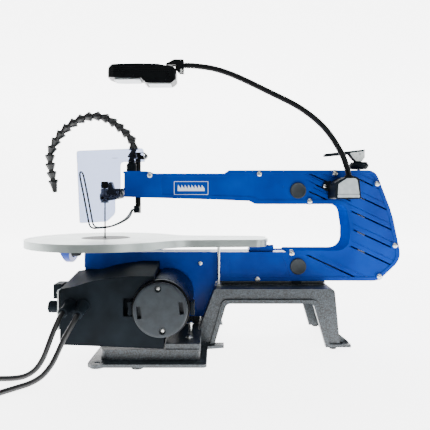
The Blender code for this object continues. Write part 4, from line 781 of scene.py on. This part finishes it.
for index, (y, z) in enumerate(((-0.123, 0.099), (-0.055, 0.099), (-0.123, 0.051), (-0.055, 0.051))):
    screw(f"panel_screw_{index}", (-0.2205, y, z), 0.0026, "-X", 0.5 * index)
fit(from_frame("switch_body", 0.0010, 3), moulded, "base", "black_plastic", "switch_body")
fit(from_frame("power_rocker", 0.0006, 2), gloss_enamel, "rocker", "rubber", "power_rocker")
for index, z in enumerate((0.0955, 0.1005)):
    bar = block(f"rocker_mark_{index}", (-0.2357, -0.0925, z - 0.0004), (-0.2349, -0.0875, z + 0.0004))
    fit(bar, printing, "rocker", "white_plastic")
fit(knurled("speed_dial", "X", (-0.100, 0.074),
            [(0, -0.2415), (0.0080, -0.2415), (0.0088, -0.2409), (0.0090, -0.2400), (0.0090, -0.2285),
             (0.0106, -0.2278), (0.0110, -0.2270), (0.0110, -0.2245), (0.0105, -0.2240), (0.0030, -0.2240),
             (0.0030, -0.2208), (0, -0.2208)], 0.0094, -0.2395, -0.2285, 20),
    moulded, "speed_knob", "gloss_black", "speed_knob")
fit(block("speed_mark", (-0.2418, -0.1003, 0.0760), (-0.2414, -0.0997, 0.0815)), printing, "speed_knob",
    "white_plastic")

# Earthed plug and coupling on the far ends of the leads, moulded in one with them.
plug_centre = (MAINS_COIL[1], 2 * CORD_D + GAP + 0.0185)
plug = turned("moulded_plug", "X", plug_centre,
              [(0, -0.3600), (0.0168, -0.3600), (0.0182, -0.3594), (0.0185, -0.3580), (0.0185, -0.3430),
               (0.0175, -0.3395), (0.0140, -0.3330), (0.0095, -0.3255), (0.0080, -0.3220), (0.0070, -0.3160),
               (0.0056, -0.3060), (0, -0.3060)], 64)
fit(plug, foot_rubber, "base", "rubber", "mains_plug")
for side in (-1, 1):
    fit(turned("plug_pin", "X", (plug_centre[0] + side * 0.0095, plug_centre[1]),
               [(0, -0.3790), (0.0015, -0.3790), (0.0024, -0.3780), (0.0024, -0.3600), (0, -0.3600)], 24),
        nickel, "base", "steel")
fit(turned("moulded_coupling", "X", (SECOND_COIL[1], CORD_D + GAP + 0.0090),
           [(0, -0.3540), (0.0055, -0.3540), (0.0055, -0.3560), (0.0078, -0.3560), (0.0090, -0.3545),
            (0.0090, -0.3300), (0.0082, -0.3290), (0.0090, -0.3280), (0.0090, -0.3200), (0.0062, -0.3080),
            (0.0050, -0.3020), (0, -0.3020)], 48),
    foot_rubber, "base", "rubber", "second_coupling")
# ---------------------------------------------------------------- table saddle, scale and tie rod
# Painted castings on the frame carry the table: a cradle under its tail and a printed tilt scale at
# the front. A plated rod with a hexagon nut ties the frame down to the base.
fit(from_frame("rear_saddle", 0.0007), powder_blue, "base", "blue_paint", "rear_saddle")
scale_card, shader, spot = principled("printed_scale_styrene", "#e6e9e7", 0.5)
wear = add(scale_card, "ShaderNodeTexNoise", {"Scale": 1000 / 7, "Detail": 3.0}, {"Vector": spot})
tone = add(scale_card, "ShaderNodeValToRGB", {"stops": [(0.0, "#d7dbd9"), (1.0, "#f4f6f5")]},
           {"Fac": wear.outputs["Fac"]})
feed(tone.outputs["Color"], shader.inputs["Base Color"])
fit(from_frame("tilt_scale", 0.0003), scale_card, "base", "white_plastic", "tilt_scale")
ticks = []
for index in range(17):
    long_tick = 0.0060 if index % 4 == 0 else 0.0035
    y = -0.0248 + index * 0.0025
    ticks.append(block("scale_tick", (-0.2098, y - 0.0002, 0.1440 - long_tick),
                       (-0.2095, y + 0.0002, 0.1440)))
choose(ticks[0])
for tick in ticks:
    tick.select_set(True)
bpy.ops.object.join()
fit(ticks[0], gloss_enamel, "base", "black_plastic")
ROD_X, ROD_Y = 0.0145, -0.038
fit(rod("tie_bar", "Z", (ROD_X, ROD_Y), 0.0025, 0.0946, 0.1570, 32), nickel, "base", "steel", "tie_rod")
HEXAGON = [(ROD_X + 0.0052 * math.cos(math.radians(60 * k)), ROD_Y + 0.0052 * math.sin(math.radians(60 * k)))
           for k in range(6)]
nut = cut(slab("tie_nut", "Z", 0.0950, 0.0990, HEXAGON, 0.0004),
          rod("nut_bore", "Z", (ROD_X, ROD_Y), 0.0026, 0.09, 0.10))
fit(nut, nickel, "base", "steel")
fit(turned("tie_washer", "Z", (ROD_X, ROD_Y),
           [(0.0026, 0.0942), (0.0066, 0.0942), (0.0066, 0.0949), (0.0026, 0.0949),
            (0.0026, 0.0942)]), nickel, "base", "steel")
for index, (y, z, seat) in enumerate(((-0.111, 0.0300, 0.0), (-0.075, 0.0300, 0.012))):
    if seat:
        fit(rod("shoulder_spacer", "Z", (-0.0300, y), 0.0030, z, z + seat), nickel, "base", "steel")
    fit(turned("shoulder_washer", "Z", (-0.0300, y),
               [(0, z + seat), (0.0058, z + seat), (0.0058, z + seat + 0.0008),
                (0, z + seat + 0.0008)]), nickel, "base", "steel")
    screw(f"shoulder_bolt_{index}", (-0.0300, y, z + seat + 0.0010), 0.0040, "+Z", 0.6 * index)

# ---------------------------------------------------------------- table
# Cast aluminium with a machined top and rim: a round front about the blade and a narrower tail. Fine
# cutter marks run along it and catch the light as short scratches. A black disc surrounds the blade.
TABLE_TOP, TABLE_RIM, TABLE_PLATE, TABLE_R = 0.170, 0.158, 0.005, 0.130
machined, shader, spot = principled("machined_cast_aluminium", "#9aa3a1", 0.34, 1.0)
MARK_MM = 0.7              # drawn coarser than the real 0.2 mm feed marks, so that it shows
stretch = add(machined, "ShaderNodeMapping", {"Scale": (0.08, 1.0, 1.0)}, {"Vector": spot})
marks = add(machined, "ShaderNodeTexNoise", {"Scale": 1000 / MARK_MM, "Detail": 3.0},
            {"Vector": stretch.outputs["Vector"]})
shine = add(machined, "ShaderNodeMapRange", {"To Min": 0.26, "To Max": 0.46},
            {"Value": marks.outputs["Fac"]})
feed(shine.outputs["Result"], shader.inputs["Roughness"])
patina = add(machined, "ShaderNodeTexNoise", {"Scale": 1000 / 30, "Detail": 4.0}, {"Vector": spot})
tone = add(machined, "ShaderNodeValToRGB", {"stops": [(0.3, "#8f9896"), (0.7, "#a7afad")]},
           {"Fac": patina.outputs["Fac"]})
feed(tone.outputs["Color"], shader.inputs["Base Color"])
relief = add(machined, "ShaderNodeBump", {"Strength": 0.06, "Distance": 0.0001},
             {"Height": marks.outputs["Fac"]})
feed(relief.outputs["Normal"], shader.inputs["Normal"])
outline = []
for step in range(131):
    angle = math.radians(50 + 260 * step / 130)
    outline.append((BLADE_X + TABLE_R * math.cos(angle), TABLE_R * math.sin(angle)))
outline += [(-0.050, -0.051, 0.060), (0.0975, -0.041, 0.024), (0.0975, 0.041, 0.024), (-0.050, 0.051, 0.060)]
plate = slab("saw_table", "Z", TABLE_RIM, TABLE_TOP, outline)
bpy.ops.object.mode_set(mode="EDIT")
bpy.ops.mesh.select_mode(type="FACE")
bpy.ops.mesh.select_all(action="DESELECT")
bpy.ops.object.mode_set(mode="OBJECT")
for face in plate.data.polygons:
    face.select = face.normal.z < -0.9
bpy.ops.object.mode_set(mode="EDIT")
bpy.ops.mesh.inset(thickness=0.0045)
bpy.ops.mesh.extrude_region_move(TRANSFORM_OT_translate={"value": (0, 0,
                                                                   TABLE_TOP - TABLE_PLATE - TABLE_RIM)})
bpy.ops.mesh.select_mode(type="VERT")
bpy.ops.object.mode_set(mode="OBJECT")
INSERT_X, INSERT_R = BLADE_X + 0.002, 0.0415
cut(plate, block("table_relief", (0.0, -0.0300, 0.150), (0.110, 0.060, TABLE_TOP - TABLE_PLATE)),
    rod("insert_seat", "Z", (INSERT_X, 0), INSERT_R, TABLE_TOP - 0.0025, TABLE_TOP + 0.005, 96),
    rod("insert_opening", "Z", (INSERT_X, 0), INSERT_R - 0.005, TABLE_TOP - 0.020, TABLE_TOP + 0.005, 96))
fit(soften(plate, 0.0009, 3), machined, "table", "table_alloy", "table")
disc = turned("blade_insert", "Z", (INSERT_X, 0),
              [(0, TABLE_TOP - 0.0022), (INSERT_R - GAP, TABLE_TOP - 0.0022),
               (INSERT_R - GAP, TABLE_TOP - 0.0004),
               (INSERT_R - GAP - 0.0004, TABLE_TOP - 0.0001), (0, TABLE_TOP - 0.0001)], 96)
cut(disc, block("blade_slot", (BLADE_X - 0.0035, -0.0040, 0.160), (BLADE_X + 0.0035, 0.0040, 0.180)))
fit(disc, moulded, "table", "black_plastic", "table_insert")
for name in ("trunnion_front", "trunnion_rear"):
    fit(from_frame(name, 0.0008), powder_blue, "table", "blue_paint", name)
for index, x in enumerate((-0.020, 0.052)):
    screw(f"table_screw_{index}", (x, -0.0395, 0.1615), 0.0024, turn=0.4 * index, body="table")
LOCK_R, LOCK_ANGLE = 0.030, math.radians(-140)
lock_place = (LOCK_R * math.cos(LOCK_ANGLE), TABLE_TOP + LOCK_R * math.sin(LOCK_ANGLE))
fit(knurled("tilt_lock_wheel", "X", lock_place,
            [(0, -0.2535), (0.0040, -0.2535), (0.0046, -0.2528), (0.0050, -0.2492), (0.0028, -0.2492),
             (0.0028, -0.2308),
             (0.0088, -0.2308), (0.0098, -0.2300), (0.0100, -0.2288), (0.0100, -0.2185), (0.0085, -0.2165),
             (0.0040, -0.2165), (0.0040, -0.2105), (0, -0.2105)], 0.0105, -0.2320, -0.2150, 14),
    moulded, "tilt_lock", "gloss_black", "tilt_lock_knob")

# ---------------------------------------------------------------- guard post, wire and clear sheet
# A black-finished steel post slides in the frame. It carries a bent steel wire that holds the work
# down and, on a pin, a hinged sheet of clear polycarbonate that keeps the fingers from the blade.
fit(from_frame("guard_post", 0.0006), gloss_enamel, "guard_post", "gloss_black", "guard_post")
WIRE_HALF = 0.012
WIRE_NEAR = [(-0.1348, 0.0085, 0.2185), (-0.1366, 0.0075, 0.2172), (-0.1395, -0.0030, 0.2095)]
WIRE_SIDE = [(-0.1450, 0.2020), (-0.1580, 0.1945), (-0.1720, 0.1893), (-0.1880, 0.1874), (-0.1985, 0.1872),
             (-0.2045, 0.1920), (-0.2080, 0.2080), (-0.2140, 0.2400), (-0.2200, 0.2700)]
WIRE_END = [(-0.2218, -0.0090, 0.2800), (-0.2224, 0.0000, 0.2835), (-0.2218, 0.0090, 0.2800)]
WIRE_FAR = [(-0.1450, 0.0130, 0.2020), (-0.1400, 0.0150, 0.2085), (-0.1366, 0.0160, 0.2172),
            (-0.1348, 0.0160, 0.2185)]
wire_route = (WIRE_NEAR + [(x, -WIRE_HALF, z) for x, z in WIRE_SIDE] + WIRE_END
              + [(x, WIRE_HALF, z) for x, z in reversed(WIRE_SIDE[1:])] + WIRE_FAR)
wire = run("bent_wire", catmull(wire_route, 8), 0.0015, spring_steel)
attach(wire, "guard_post")
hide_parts("wire_guard")
fit(knurled("clamp_wheel", "Y", (-0.1265, 0.2185),
            [(0, -0.0040), (0.0045, -0.0040), (0.0055, -0.0030), (0.0055, 0.0030), (0.0045, 0.0040),
             (0.0020, 0.0040), (0.0020, 0.0090), (0, 0.0090)], 0.0058, -0.0050, 0.0050, 14),
    moulded, "clamp_screw", "black_plastic", "guard_clamp_screw")
polycarbonate, shader, spot = principled("clear_polycarbonate", "#8791ad", 0.02)
shader.inputs["IOR"].default_value = 1.585
shader.inputs["Transmission Weight"].default_value = 1.0
shader.inputs["Specular IOR Level"].default_value = 0.2
smear = add(polycarbonate, "ShaderNodeTexNoise", {"Scale": 1000 / 18, "Detail": 3.0}, {"Vector": spot})
haze = add(polycarbonate, "ShaderNodeMapRange", {"To Min": 0.0, "To Max": 0.04},
           {"Value": smear.outputs["Fac"]})
feed(haze.outputs["Result"], shader.inputs["Roughness"])
fit(from_frame("clear_guard", 0.0004, 2), polycarbonate, "clear_guard", "clear_plastic", "clear_guard")
fit(block("hinge_mark", (-0.1640, -0.0236, 0.3048), (-0.1545, -0.0232, 0.3055)), gloss_enamel, "clear_guard",
    "black_plastic")

# ---------------------------------------------------------------- blower hose
# Snap-together hose of black acetal links. Each is a cone whose wide socket, towards the frame, takes
# the ball of the link before it. It starts in a ribbed connector and ends in a tapered nozzle.
HOSE_Y = -0.010
CONNECTOR = (-0.1335, HOSE_Y)
HOSE_ROUTE = [(-0.1325, HOSE_Y, 0.3060), (-0.1297, HOSE_Y, 0.3250), (-0.1348, HOSE_Y, 0.3399),
              (-0.1570, HOSE_Y, 0.3612), (-0.1817, HOSE_Y, 0.3763), (-0.2104, HOSE_Y, 0.3763),
              (-0.2372, HOSE_Y, 0.3633), (-0.2581, HOSE_Y, 0.3425), (-0.2721, HOSE_Y, 0.3152),
              (-0.2718, HOSE_Y, 0.2925), (-0.2675, HOSE_Y, 0.2690)]
NOZZLE_TIP = Vector((-0.2640, HOSE_Y, 0.2480))
acetal, shader, spot = principled("black_acetal", "#0a0d10", 0.2)
bloom = add(acetal, "ShaderNodeTexNoise", {"Scale": 1000 / 5, "Detail": 2.0}, {"Vector": spot})
shine = add(acetal, "ShaderNodeMapRange", {"To Min": 0.15, "To Max": 0.32}, {"Value": bloom.outputs["Fac"]})
feed(shine.outputs["Result"], shader.inputs["Roughness"])


def evened(points, count):
    """Count points at even spacing along the given ones."""
    lengths = [0.0]
    for one, two in zip(points, points[1:]):
        lengths.append(lengths[-1] + (two - one).length)
    spaced = []
    at = 0
    for step in range(count):
        wanted = lengths[-1] * step / (count - 1)
        while at < len(points) - 2 and lengths[at + 1] < wanted:
            at += 1
        share = (wanted - lengths[at]) / (lengths[at + 1] - lengths[at])
        spaced.append(points[at].lerp(points[at + 1], min(share, 1.0)))
    return spaced


def aimed(piece, start, along):
    """Lays a piece made on the Z axis along a direction from start."""
    piece.data.transform(Matrix.Translation(start) @ along.to_track_quat("Z", "X").to_matrix().to_4x4())
    return piece


LINKS = 18
stations = evened(catmull(HOSE_ROUTE, 24), LINKS + 1)
SOCKET = [(0, 0.0034), (0.0052, 0.0034), (0.0064, 0.0003), (0.0078, 0.0001), (0.0083, 0.0010),
          (0.0083, 0.0030), (0.0077, 0.0040)]
for index, name in enumerate(("hose_lower", "hose_middle", "hose_upper")):
    links = []
    for step in range(6):
        start, end = stations[6 * index + step], stations[6 * index + step + 1]
        links.append(aimed(turned("hose_link", "Z", (0, 0), SOCKET + [
            (0.0050, 0.0108), (0.0042, 0.0120), (0.0046, 0.0132), (0.0050, 0.0146), (0.0046, 0.0158),
                                                                      (0.0030, 0.0167),
            (0, 0.0170)], 28), start, end - start))
    choose(links[0])
    for link in links:
        link.select_set(True)
    bpy.ops.object.join()
    fit(links[0], acetal, name, "black_plastic", name)
fit(aimed(turned("nozzle_cone", "Z", (0, 0), SOCKET + [
    (0.0062, 0.0062), (0.0038, 0.0203), (0.0036, 0.0213), (0.0026, 0.0213), (0.0026, 0.0130), (0, 0.0130)],
                 36),
          stations[-1], NOZZLE_TIP - stations[-1]), acetal, "nozzle", "black_plastic", "hose_nozzle")
fit(knurled("hose_socket", "Z", CONNECTOR,
            [(0, 0.2770), (0.0045, 0.2770), (0.0045, 0.2833), (0.0081, 0.2833), (0.0086, 0.2840),
             (0.0086, 0.2955),
             (0.0080, 0.2965), (0.0064, 0.2975), (0.0060, 0.2990), (0.0060, 0.3015), (0.0048, 0.3035),
             (0.0044, 0.3055), (0.0030, 0.3070), (0, 0.3075)], 0.0089, 0.2850, 0.2945, 22),
    moulded, "base", "black_plastic", "hose_connector")

# ---------------------------------------------------------------- lamp
# The lamp's supply box is screwed to the frame by its ear, with a pale cover in its face. A ribbed
# steel gooseneck, black coated, holds the glossy head on a small elbow with a hinge screw.
LAMP_Y = -0.052
fit(from_frame("lamp_box", 0.0012, 3), moulded, "base", "black_plastic", "lamp_box")
cover_grey, shader, spot = principled("grey_moulded_cover", "#aab4b8", 0.5)
streaks = add(cover_grey, "ShaderNodeTexNoise", {"Scale": 1000 / 10, "Detail": 4.0}, {"Vector": spot})
tone = add(cover_grey, "ShaderNodeValToRGB", {"stops": [(0.3, "#98a3a8"), (0.7, "#bcc4c7")]},
           {"Fac": streaks.outputs["Fac"]})
feed(tone.outputs["Color"], shader.inputs["Base Color"])
fit(slab("lamp_box_cover", "Y", -0.0806, -0.0795,
         [(0.1992, 0.2440, 0.001), (0.2005, 0.2600, 0.003), (0.2135, 0.2686, 0.003), (0.2295, 0.2692, 0.006),
          (0.2329, 0.2440, 0.001)], 0.0003), cover_grey, "base", "white_plastic")
fit(slab("lamp_box_lip", "Y", -0.0811, -0.0795,
         [(0.1990, 0.2390, 0.001), (0.1992, 0.2436, 0.001), (0.2330, 0.2436, 0.001),
          (0.2334, 0.2390, 0.001)], 0.0004),
    cover_grey, "base", "white_plastic")
fit(turned("lamp_button", "X", (-0.060, 0.2580),
           [(0, 0.2395), (0.0022, 0.2393), (0.0038, 0.2386), (0.0047, 0.2374), (0.0049, 0.2345),
            (0, 0.2345)]),
    cover_grey, "base", "white_plastic")
screw("lamp_ear_screw", (0.1895, -0.0364, 0.2578), 0.0031, turn=0.6)

NECK_ROUTE = [(0.2243, LAMP_Y, 0.2725), (0.2218, LAMP_Y, 0.2857), (0.2118, -0.0500, 0.3134),
              (0.1862, -0.0450, 0.3532), (0.1484, -0.0380, 0.3864), (0.0984, -0.0290, 0.4148),
              (0.0448, -0.0190, 0.4432), (0.0085, -0.0120, 0.4576), (-0.0241, -0.0040, 0.4650),
              (-0.0434, 0.0, 0.4671)]
RIB_SHARES = (1.0, 0.96, 0.86, 0.96)
RIBS = 158                 # one every 2.5 mm
neck = run("gooseneck_spiral", evened(catmull(NECK_ROUTE, 40), RIBS * 4 + 1), 0.0050, gloss_enamel,
           list(RIB_SHARES) * RIBS + [1.0])
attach(neck, "base")
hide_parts("gooseneck")
fit(turned("neck_ferrule", "Z", (0.2243, LAMP_Y),
           [(0, 0.2700), (0.0070, 0.2700), (0.0070, 0.2735), (0.0062, 0.2745),
            (0, 0.2745)]), moulded, "base", "black_plastic")
fit(from_frame("lamp_neck", 0.0012, 3), gloss_enamel, "lamp_neck", "gloss_black", "lamp_neck")
fit(turned("elbow_flange", "X", (0, 0.4671),
           [(0, -0.0475), (0.0066, -0.0475), (0.0074, -0.0470), (0.0074, -0.0454),
            (0.0068, -0.0449), (0, -0.0449)]), gloss_enamel, "lamp_neck",
    "gloss_black")
screw("hinge_screw", (-0.0492, -0.0070, 0.4568), 0.0025, turn=0.5, body="lamp_neck")
bpy.data.objects.remove(pattern_screw)
head = from_frame("lamp_head")
for z in (0.4530, 0.4600):
    cut(head, block("head_groove", (-0.1680, -0.0200, z), (-0.0650, -0.0170, z + 0.0005)))
fit(soften(head, 0.0016, 3), gloss_enamel, "lamp_head", "gloss_black", "lamp_head")
frosted, shader, spot = principled("frosted_acrylic", "#dde3e7", 0.35)
shader.inputs["Transmission Weight"].default_value = 0.35
prism_rows = add(frosted, "ShaderNodeTexWave", {"Scale": 1000 / 2 / (2 * math.pi)}, {"Vector": spot})
relief = add(frosted, "ShaderNodeBump", {"Strength": 0.4, "Distance": 0.0003},
             {"Height": prism_rows.outputs["Fac"]})
feed(relief.outputs["Normal"], shader.inputs["Normal"])
fit(from_frame("lamp_lens", 0.0004), frosted, "lamp_head", "clear_plastic", "lamp_lens")
fit(block("battery_cover", (-0.1050, -0.0135, 0.4318), (-0.0665, 0.0135, 0.4332), 0.0005), frosted,
    "lamp_head", "clear_plastic")
fit(turned("lamp_switch", "Z", (-0.0930, 0.0),
           [(0, 0.4650), (0.0045, 0.4650), (0.0045, 0.4664), (0.0038, 0.4670),
            (0, 0.4672)]), moulded, "lamp_head", "black_plastic")
